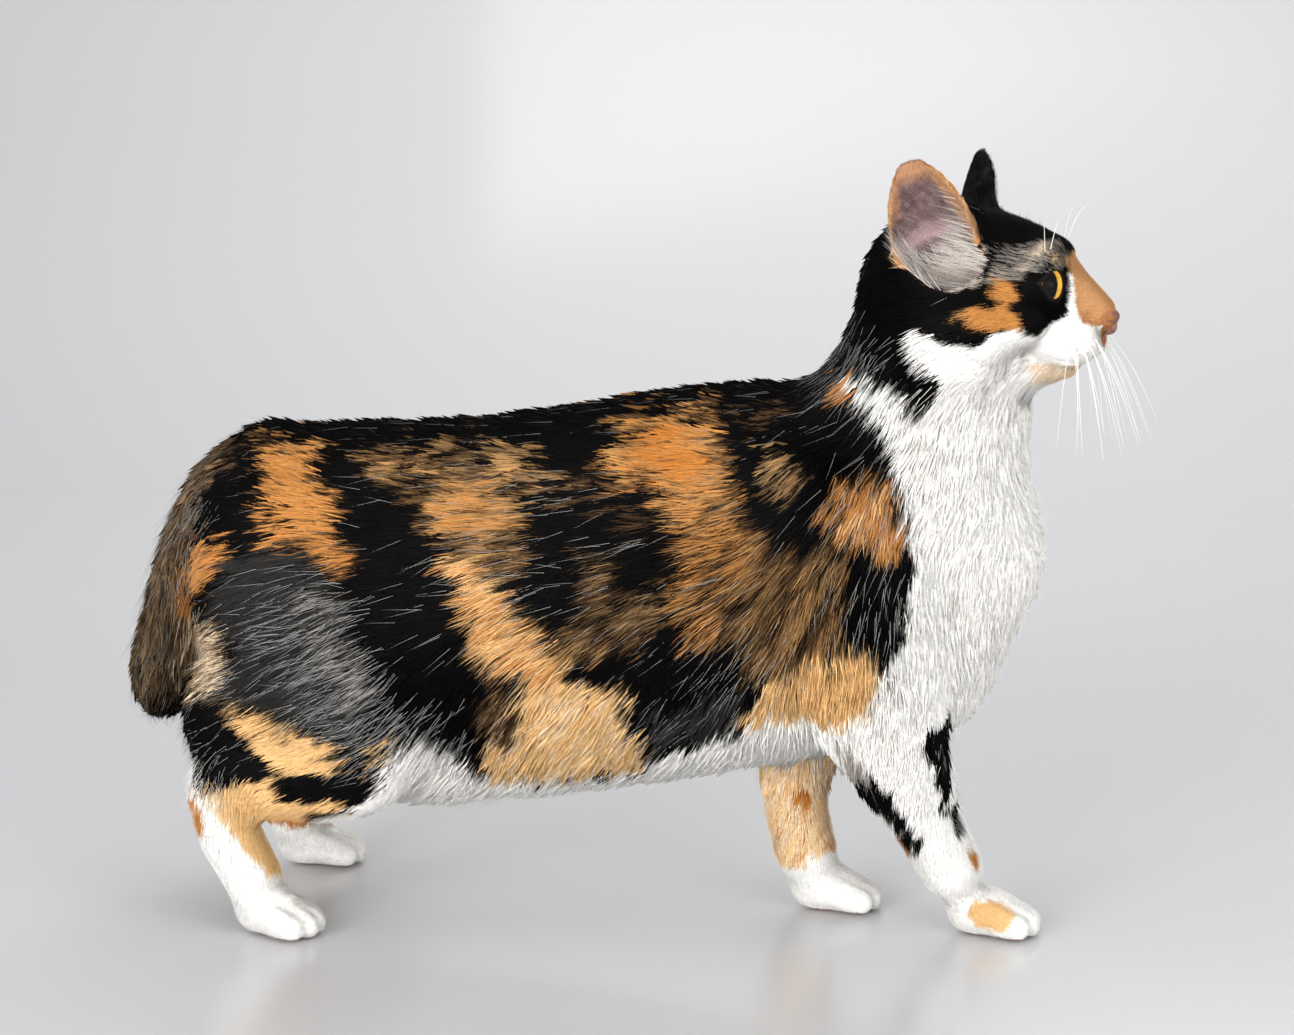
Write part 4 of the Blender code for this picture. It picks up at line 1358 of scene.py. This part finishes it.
def fur_shade_group():
    """Streaks and patches of light and dark in fur: puts out a colour, a roughness and a height."""
    group = bpy.data.node_groups.new("fur shade", "ShaderNodeTree")
    for name, way, kind in (("Colour", "INPUT", "Color"), ("Streak size", "INPUT", "Float"),
                            ("Strength", "INPUT", "Float"), ("Colour", "OUTPUT", "Color"),
                            ("Roughness", "OUTPUT", "Float"), ("Height", "OUTPUT", "Float")):
        group.interface.new_socket(name, in_out=way, socket_type="NodeSocket" + kind)
    start, end = add(group, "NodeGroupInput"), add(group, "NodeGroupOutput")
    grain = texture(group, "ShaderNodeTexNoise")
    grain.inputs["Detail"].default_value = 3.0
    shade = darkened(group, start, "Colour", ranged(group, grain, 0.55, 1.3, 0.3, 0.7))
    link(group, start, "Streak size", grain, "Scale", start, "Strength", shade, "Factor",
         shade, 2, end, "Colour", ranged(group, grain, 0.42, 0.62), "Result", end, "Roughness",
         grain, "Fac", end, "Height")
    return group


FUR_SHADE = fur_shade_group()


def fur_material(name, streak_size, strength, relief):
    """Fur that takes its markings from the piece's own colours."""
    material, tree, shader = new_material(name)
    marking = add(tree, "ShaderNodeAttribute", attribute_name="coat_colour")
    shade = add(tree, "ShaderNodeGroup", node_tree=FUR_SHADE)
    shade.inputs["Streak size"].default_value = streak_size
    shade.inputs["Strength"].default_value = strength
    link(tree, marking, "Color", shade, "Colour", shade, "Colour", shader, "Base Color",
         shade, "Roughness", shader, "Roughness")
    shader.inputs["Specular IOR Level"].default_value = 0.03
    if relief:
        bump(tree, shade, "Height", shader, relief, 0.0006)
    return material


def nose_material():
    material, tree, shader = new_material("nose leather")
    pebble = texture(tree, "ShaderNodeTexVoronoi", 1600.0)
    tint = texture(tree, "ShaderNodeTexNoise", 260.0)
    ramp = add(tree, "ShaderNodeValToRGB")
    for stop, position, colour in zip(ramp.color_ramp.elements, (0.4, 0.62), (NOSE_DARK, NOSE_PALE)):
        stop.position = position
        stop.color = (*colour, 1)
    link(tree, tint, "Fac", ramp, "Fac", ramp, "Color", shader, "Base Color")
    bump(tree, pebble, "Distance", shader, 0.5, 0.0002)
    shader.inputs["Roughness"].default_value = 0.38
    return material


def cornea_material():
    """Clear, with faint reflections only: light passes straight to the iris."""
    material, tree, shader = new_material("cornea")
    tree.nodes.remove(shader)
    clear = add(tree, "ShaderNodeBsdfTransparent")
    gloss = add(tree, "ShaderNodeBsdfGlossy", {"Roughness": 0.02})
    edge = add(tree, "ShaderNodeFresnel", {"IOR": 1.42})
    weaker = add(tree, "ShaderNodeMath", {1: 0.12}, operation="MULTIPLY")
    mix = add(tree, "ShaderNodeMixShader")
    link(tree, edge, "Fac", weaker, 0, weaker, "Value", mix, "Fac", clear, "BSDF", mix, 1,
         gloss, "BSDF", mix, 2, mix, "Shader", tree.nodes["Material Output"], "Surface")
    return material


def iris_material():
    material, tree, shader = new_material("iris and pupil")
    marking = add(tree, "ShaderNodeAttribute", attribute_name="coat_colour")
    fleck = texture(tree, "ShaderNodeTexNoise", 1400.0)
    shade = darkened(tree, marking, "Color", ranged(tree, fleck, 0.7, 1.3))
    shade.inputs["Factor"].default_value = 0.7
    link(tree, shade, 2, shader, "Base Color")
    shader.inputs["Roughness"].default_value = 0.35
    shader.inputs["Specular IOR Level"].default_value = 0.08
    return material


COAT_MATERIAL = fur_material("coat tufts", 700.0, 0.35, 0.0)
SKIN_MATERIAL = fur_material("short fur on skin", 1500.0, 0.6, 0.8)


# Pieces


def unwrap(thing):
    """Unwraps the piece's own shape into a map named OFBake."""
    thing.data.uv_layers.new(name="OFBake")
    bpy.context.view_layer.objects.active = thing
    thing.select_set(True)
    bpy.ops.object.mode_set(mode="EDIT")
    bpy.ops.mesh.select_all(action="SELECT")
    bpy.ops.uv.smart_project(angle_limit=math.radians(66), island_margin=0.001)
    bpy.ops.object.mode_set(mode="OBJECT")
    thing.select_set(False)


SKIN_TRIANGLES = 150000

# Grid lines for the skin along X, Y and Z: from, to, cell
SKIN_GRID = (
    ((-236, 118, 1.9), (118, 168, 1.4), (168, 226, 0.9)),
    ((-86, -46, 1.6), (-46, 40, 1.15), (40, 88, 1.6)),
    ((-6, 28, 1.1), (28, 245, 1.9), (245, 356, 1.0)),
)


def make_skin():
    """The whole hide, finest on the head and paws."""
    corners, quads = surface(skin_distance, [uneven_axis(stops) for stops in SKIN_GRID], 6, 13.0)
    thing = plain_mesh("skin", to_row(corners), quads)
    thin = thing.modifiers.new("thin", "DECIMATE")
    thin.ratio = SKIN_TRIANGLES / (2 * len(quads))
    thin.use_collapse_triangulate = True
    mesh = apply_modifiers(thing)
    keep_largest(mesh)
    smooth_shaded(mesh)
    unwrap(thing)
    p = design_corners(mesh)
    share = shares(regions(p.astype(np.float32)))
    colour = markings(p, share, np.full(len(p), 0.5))
    # Painted shade under the coat: the skin is darkened to three quarters of the coat's colour under dark
    # coat, less under paler coat, and not at all under the palest
    colour = colour * (0.75 + 0.25 * np.clip(colour.mean(1) / 0.6, 0, 1))[:, None]
    q = head_place(p)
    by_eye = np.zeros(len(p))
    for side in (-1, 1):
        e = eye_space(q, side)
        by_eye += soft_inside(eye_opening(e) - 1.6, 0.8) * (lengths(e) < EYE_RADIUS + 4)
    sole = (p[:, 2] < 1.6) & (share["trunk"] < 0.5)
    colour = np.where((by_eye > 0.5)[:, None], np.array(LID_SKIN), colour)
    colour = np.where(sole[:, None], np.array(PAD_SKIN), colour)
    set_colours(mesh, colour)
    mesh.materials.clear()
    mesh.materials.append(SKIN_MATERIAL)
    return thing


def keep_largest(mesh):
    """Removes stray shells that the drawing of the surface leaves inside."""
    shape = bmesh.new()
    shape.from_mesh(mesh)
    left = set(shape.verts)
    shells = []
    while left:
        stack = [left.pop()]
        shell = set(stack)
        while stack:
            for edge in stack.pop().link_edges:
                for corner in edge.verts:
                    if corner in left:
                        left.discard(corner)
                        shell.add(corner)
                        stack.append(corner)
        shells.append(shell)
    shells.sort(key=len)
    stray = [corner for shell in shells[:-1] for corner in shell]
    bmesh.ops.delete(shape, geom=stray, context="VERTS")
    shape.to_mesh(mesh)
    shape.free()
    mesh.update()


def make_nose():
    sides = zip(on_head(NOSE_MIDDLE), NOSE_HALF)
    grids = [uneven_axis(((middle - half, middle + half, NOSE_CELL),)) for middle, half in sides]
    corners, quads = surface(nose_surface, grids, 1, 99.0)
    thing = plain_mesh("nose_leather", to_row(corners), quads)
    keep_largest(thing.data)
    unwrap(thing)
    thing.data.materials.append(nose_material())
    return thing


IRIS_PLANE = 7.6
IRIS_RADIUS = 8.0
IRIS_SUNK = 0.9
PUPIL_HALF = (4.6, 6.2)
CORNEA_CENTRE, CORNEA_RADIUS, CORNEA_REACH = 2.4, 8.9, math.radians(66)


def revolved(front, rows, spokes, back=None):
    """Corners and faces about X: a front point, rings of x and radius, and perhaps a back point."""
    turn = np.arange(spokes) * 2 * math.pi / spokes
    corners = [np.array([[front, 0, 0]])]
    corners += [np.stack([np.full(spokes, x), r * np.cos(turn), r * np.sin(turn)], -1) for x, r in rows]
    last = 1 + len(rows) * spokes
    faces = []
    for j in range(spokes):
        k = (j + 1) % spokes
        faces.append((0, 1 + j, 1 + k))
        for a in range(1, last - spokes, spokes):
            faces += [(a + j, a + spokes + j, a + spokes + k), (a + j, a + spokes + k, a + k)]
        if back is not None:
            faces.append((last - spokes + j, last, last - spokes + k))
    if back is not None:
        corners.append(np.array([[back, 0, 0]]))
    return np.concatenate(corners), np.array(faces)


def eye_piece(name, side, corners, faces):
    """A piece about the eye's centre, turned to look where the eye does."""
    corners = eye_centre(side) + corners @ (HEAD_AXES @ gaze_axes(side)).T
    return plain_mesh(name + ("_right" if side < 0 else "_left"), to_row(corners), faces)


def make_eye(side, iris):
    """An eyeball with a sunk iris and pupil."""
    scale = EYE_RADIUS / math.hypot(IRIS_PLANE, IRIS_RADIUS)
    start = math.atan2(IRIS_RADIUS, IRIS_PLANE)
    rows = [((IRIS_PLANE - IRIS_SUNK * (1 - i / 26) ** 2) * scale, IRIS_RADIUS * i / 26 * scale)
            for i in range(1, 27)]
    angles = [start + (math.pi - start) * i / 15 for i in range(1, 15)]
    rows += [(EYE_RADIUS * math.cos(angle), EYE_RADIUS * math.sin(angle)) for angle in angles]
    local, faces = revolved(rows[0][0] - 0.05, rows, 72, -EYE_RADIUS)
    thing = eye_piece("eyeball", side, local, faces)
    x, y, z = local.T
    far = np.hypot(y, z)
    pupil = np.hypot(y / PUPIL_HALF[0], z / PUPIL_HALF[1]) < 1
    streak = noise(np.stack([np.arctan2(z, y) * 9, far * 0.6, far * 0], -1), 1.0, 31)
    amber = np.array(AMBER) * (0.6 + 0.7 * streak)[:, None]
    amber = amber * np.clip(0.55 + (far[:, None] - 3) / 6, 0.5, 1.2)
    colour = np.where(((far > IRIS_RADIUS * scale * 0.97) | (x < 4))[:, None], np.array(EYE_DARK), amber)
    set_colours(thing.data, np.where((pupil & (x > 4))[:, None], np.array(PUPIL), colour))
    unwrap(thing)
    thing.data.materials.append(iris)
    return thing


def make_cornea(side, clear):
    """The clear dome in front of the iris."""
    rows = []
    for i in range(1, 15):
        angle = CORNEA_REACH * i / 14
        rows.append((CORNEA_CENTRE + CORNEA_RADIUS * math.cos(angle), CORNEA_RADIUS * math.sin(angle)))
    thing = eye_piece("cornea", side, *revolved(CORNEA_CENTRE + CORNEA_RADIUS, rows, 48))
    thing.data.materials.append(clear)
    return thing


WHISKER_STEPS = 9
WHISKER_ARCH = 4.0
WHISKER_RADIUS = 0.00016


def swept_hairs():
    """Nodes that sweep a round profile along each path, as thick as the path says."""
    material, _, shader = new_material("whisker")
    shader.inputs["Base Color"].default_value = (*WHISKER_COLOUR, 1)
    shader.inputs["Roughness"].default_value = 0.35
    tree = bpy.data.node_groups.new("swept hairs", "GeometryNodeTree")
    tree.interface.new_socket("Paths", in_out="INPUT", socket_type="NodeSocketGeometry")
    sides = tree.interface.new_socket("Sides", in_out="INPUT", socket_type="NodeSocketInt")
    tree.interface.new_socket("Hairs", in_out="OUTPUT", socket_type="NodeSocketGeometry")
    start, end = add(tree, "NodeGroupInput"), add(tree, "NodeGroupOutput")
    paths = add(tree, "GeometryNodeMeshToCurve")
    radius = add(tree, "GeometryNodeSetCurveRadius")
    stored = add(tree, "GeometryNodeInputNamedAttribute", data_type="FLOAT")
    stored.inputs["Name"].default_value = "thickness"
    profile = add(tree, "GeometryNodeCurvePrimitiveCircle", {"Radius": 1.0})
    sweep = add(tree, "GeometryNodeCurveToMesh", {"Fill Caps": True})
    realize = add(tree, "GeometryNodeRealizeInstances")
    paint = add(tree, "GeometryNodeSetMaterial", {"Material": material})
    link(tree, start, "Paths", paths, "Mesh", paths, "Curve", radius, "Curve",
         stored, "Attribute", radius, "Radius", radius, "Curve", sweep, "Curve",
         start, "Sides", profile, "Resolution", profile, "Curve", sweep, "Profile Curve",
         stored, "Attribute", sweep, "Scale", sweep, "Mesh", realize, "Geometry",
         realize, "Geometry", paint, "Geometry", paint, "Geometry", end, "Hairs")
    return tree, sides.identifier


def make_whiskers():
    """Thin tapering hairs swept along their own curves by nodes."""
    points, edges, thickness = [], [], []
    for side in (-1, 1):
        for root, offset in WHISKERS:
            start = on_head(mirrored(root, side))
            reach = HEAD_AXES @ mirrored(offset, side)
            for i in range(WHISKER_STEPS):
                t = i / (WHISKER_STEPS - 1)
                arch = np.array([0, 0, WHISKER_ARCH]) * math.sin(math.pi * t)
                if i:
                    edges.append((len(points) - 1, len(points)))
                points.append(tuple(to_row(start + reach * t + arch)))
                thickness.append((1 - 0.85 * t) * WHISKER_RADIUS)
    mesh = bpy.data.meshes.new("whiskers")
    mesh.from_pydata(points, edges, [])
    mesh.attributes.new("thickness", "FLOAT", "POINT").data.foreach_set("value", thickness)
    thing = linked("whiskers", mesh)
    grow = thing.modifiers.new("grow", "NODES")
    grow.node_group, sides = swept_hairs()
    grow[sides] = 5
    smooth_shaded(apply_modifiers(thing))
    return thing


# Camera, lights and floor
CAMERA_TURN, CAMERA_RISE, CAMERA_DISTANCE = math.radians(6), math.radians(10), 1500.0
CAMERA_TARGET = np.array([11.0, 0.0, 182.6])
CAMERA_LENS, CAMERA_SENSOR = 92.736, 36.0

# Lights: name, place in metres, watts, width
LIGHTS = (
    ("key", (-0.9, -2.0, 0.5), 70, 1.3),
    ("fill", (1.5, -1.6, 0.4), 38, 1.3),
    ("back", (0.2, 1.5, 1.4), 16, 1.4),
    ("top", (0.0, 0.0, 1.9), 8, 1.5),
)
LIGHT_TARGET = (0, 0, 0.16)
SKY, SKY_STRENGTH = (0.93, 0.94, 0.96, 1), 0.72
FLOOR_COLOUR = (0.50, 0.50, 0.505, 1)


def look_from(turn, rise):
    return np.array([math.sin(turn) * math.cos(rise), -math.cos(turn) * math.cos(rise), math.sin(rise)])


def aim(thing, place, target):
    thing.location = Vector(place)
    thing.rotation_euler = (Vector(target) - Vector(place)).to_track_quat("-Z", "Y").to_euler()
    bpy.context.scene.collection.objects.link(thing)


def make_camera():
    data = bpy.data.cameras.new("camera")
    data.lens = CAMERA_LENS
    data.sensor_width = CAMERA_SENSOR
    camera = bpy.data.objects.new("camera", data)
    target = to_row(CAMERA_TARGET)
    aim(camera, target + look_from(CAMERA_TURN, CAMERA_RISE) * CAMERA_DISTANCE * MILLIMETRE, target)
    bpy.context.scene.camera = camera


def make_lights():
    for name, place, energy, size in LIGHTS:
        data = bpy.data.lights.new(name, "AREA")
        data.energy = energy
        data.size = size
        aim(bpy.data.objects.new(name, data), place, LIGHT_TARGET)
    world = bpy.data.worlds.new("studio")
    bpy.context.scene.world = world
    world.use_nodes = True
    background = world.node_tree.nodes["Background"]
    background.inputs["Color"].default_value = SKY
    background.inputs["Strength"].default_value = SKY_STRENGTH
    bpy.context.scene.view_settings.view_transform = "Standard"


def make_floor():
    """A pale glossy table top that curves up into a plain pale backdrop."""
    profile = [(y, 0.0) for y in (-3.0, -0.5, 0.0, 0.5, 1.1)]
    bend = np.linspace(0.1, math.pi / 2, 14)
    profile += [(1.1 + 1.2 * math.sin(a), 1.2 - 1.2 * math.cos(a)) for a in bend]
    profile += [(2.3, z) for z in (2.0, 4.0)]
    corners = [(x, y, z) for y, z in profile for x in (-6.0, 6.0)]
    faces = [(2 * i, 2 * i + 1, 2 * i + 3, 2 * i + 2) for i in range(len(profile) - 1)]
    floor = plain_mesh("floor", np.array(corners), np.array(faces))
    material, tree, shader = new_material("pale floor")
    haze = texture(tree, "ShaderNodeTexNoise", 2.0)
    link(tree, ranged(tree, haze, 0.16, 0.24), "Result", shader, "Roughness")
    shader.inputs["Base Color"].default_value = FLOOR_COLOUR
    floor.data.materials.append(material)


FLESH = ("head", "neck", "trunk", "tail", "ear_left", "ear_right",
         "fore_leg_left", "fore_leg_right", "fore_paw_left", "fore_paw_right",
         "hind_leg_left", "hind_leg_right", "hind_paw_left", "hind_paw_right")


def short(middle, share, length):
    return length < LONG_HAIR


def long(middle, share, length):
    return length >= LONG_HAIR


def over_body(middle, share):
    legs = share["hind_right"] + share["hind_left"] + 0.6 * (share["fore_right"] + share["fore_left"])
    return share["trunk"] + share["neck"] + share["tail"] + legs * (middle[:, 2] > 60)


# White hairs among the dark: where from the side, how thickly, and how far that reaches
WHITE_HAIRS = (
    ((-125, 140), 0.9, 26), ((-112, 118), 1.0, 26), ((-100, 100), 1.0, 22), ((-75, 98), 0.6, 20),
    ((-182, 78), 0.9, 18), ((-178, 128), 0.8, 22), ((112, 258), 0.8, 20), ((124, 160), 0.6, 22),
    ((116, 200), 0.5, 20), ((60, 130), 0.3, 30), ((-30, 165), 0.16, 50), ((20, 100), 0.3, 26),
    ((-195, 180), 0.4, 30),
)


def white_among_dark(middle, share, length):
    thick = np.full(len(middle), 0.03)
    for (x, z), amount, reach in WHITE_HAIRS:
        away = np.hypot(middle[:, 0] - x, middle[:, 2] - z)
        thick = np.maximum(thick, amount * np.clip(1.3 - away / reach, 0, 1))
    return thick * over_body(middle, share) * (length >= LONG_HAIR)


def fringe(middle, share, length):
    """Loose ends along the belly, chest, thighs and tail."""
    x, z = middle[:, 0], middle[:, 2]
    belly = share["trunk"] * np.clip((88 - z) / 25, 0, 1)
    chest = (share["trunk"] + share["neck"]) * np.clip((x - 135) / 15, 0, 1) * 0.4
    thigh = (share["hind_right"] + share["hind_left"]) * (z > 55) * np.clip((-160 - x) / 15, 0, 1)
    return np.clip(belly + chest + thigh + share["tail"] * 0.8, 0, 1) * (length >= LONG_HAIR)


# Layers of the coat: name, how many times over it covers the skin, where it grows, and what sets it apart
COAT_LAYERS = (
    ("coat_long", 2.76, long, {"bladed": True}),
    ("coat_short", 2.6, short, {}),
    ("white_hairs", 0.45, white_among_dark,
     {"width_scale": 0.4, "length_scale": 1.4, "lift": 2.5, "stray": 0.14, "paint": LOOSE_WHITE,
      "raised": True}),
    ("fringe", 1.0, fringe,
     {"width_scale": 0.5, "length_scale": 1.3, "lift": 6.0, "stray": 0.25, "raised": True}),
)


def make_coat(skin):
    pieces = []
    for seed, (name, coverage, wanted, ways) in enumerate(COAT_LAYERS, 1):
        pieces += grown_tufts(name, scattered_roots(skin, coverage, wanted, seed), **ways)
    return pieces + ear_hairs(skin)


def main():
    make_camera()
    make_lights()
    make_floor()
    skin = make_skin()
    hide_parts(*FLESH)
    ridden = [skin] + make_coat(skin)
    nose = make_nose()
    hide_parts("nose")
    iris, clear = iris_material(), cornea_material()
    for side, node in ((-1, "eye_right"), (1, "eye_left")):
        eye = make_eye(side, iris)
        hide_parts(node)
        cornea = make_cornea(side, clear)
        ridden += [eye, cornea]
    whiskers = make_whiskers()
    ridden += [nose, whiskers]
    for piece in ridden:
        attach(piece, "root")


main()
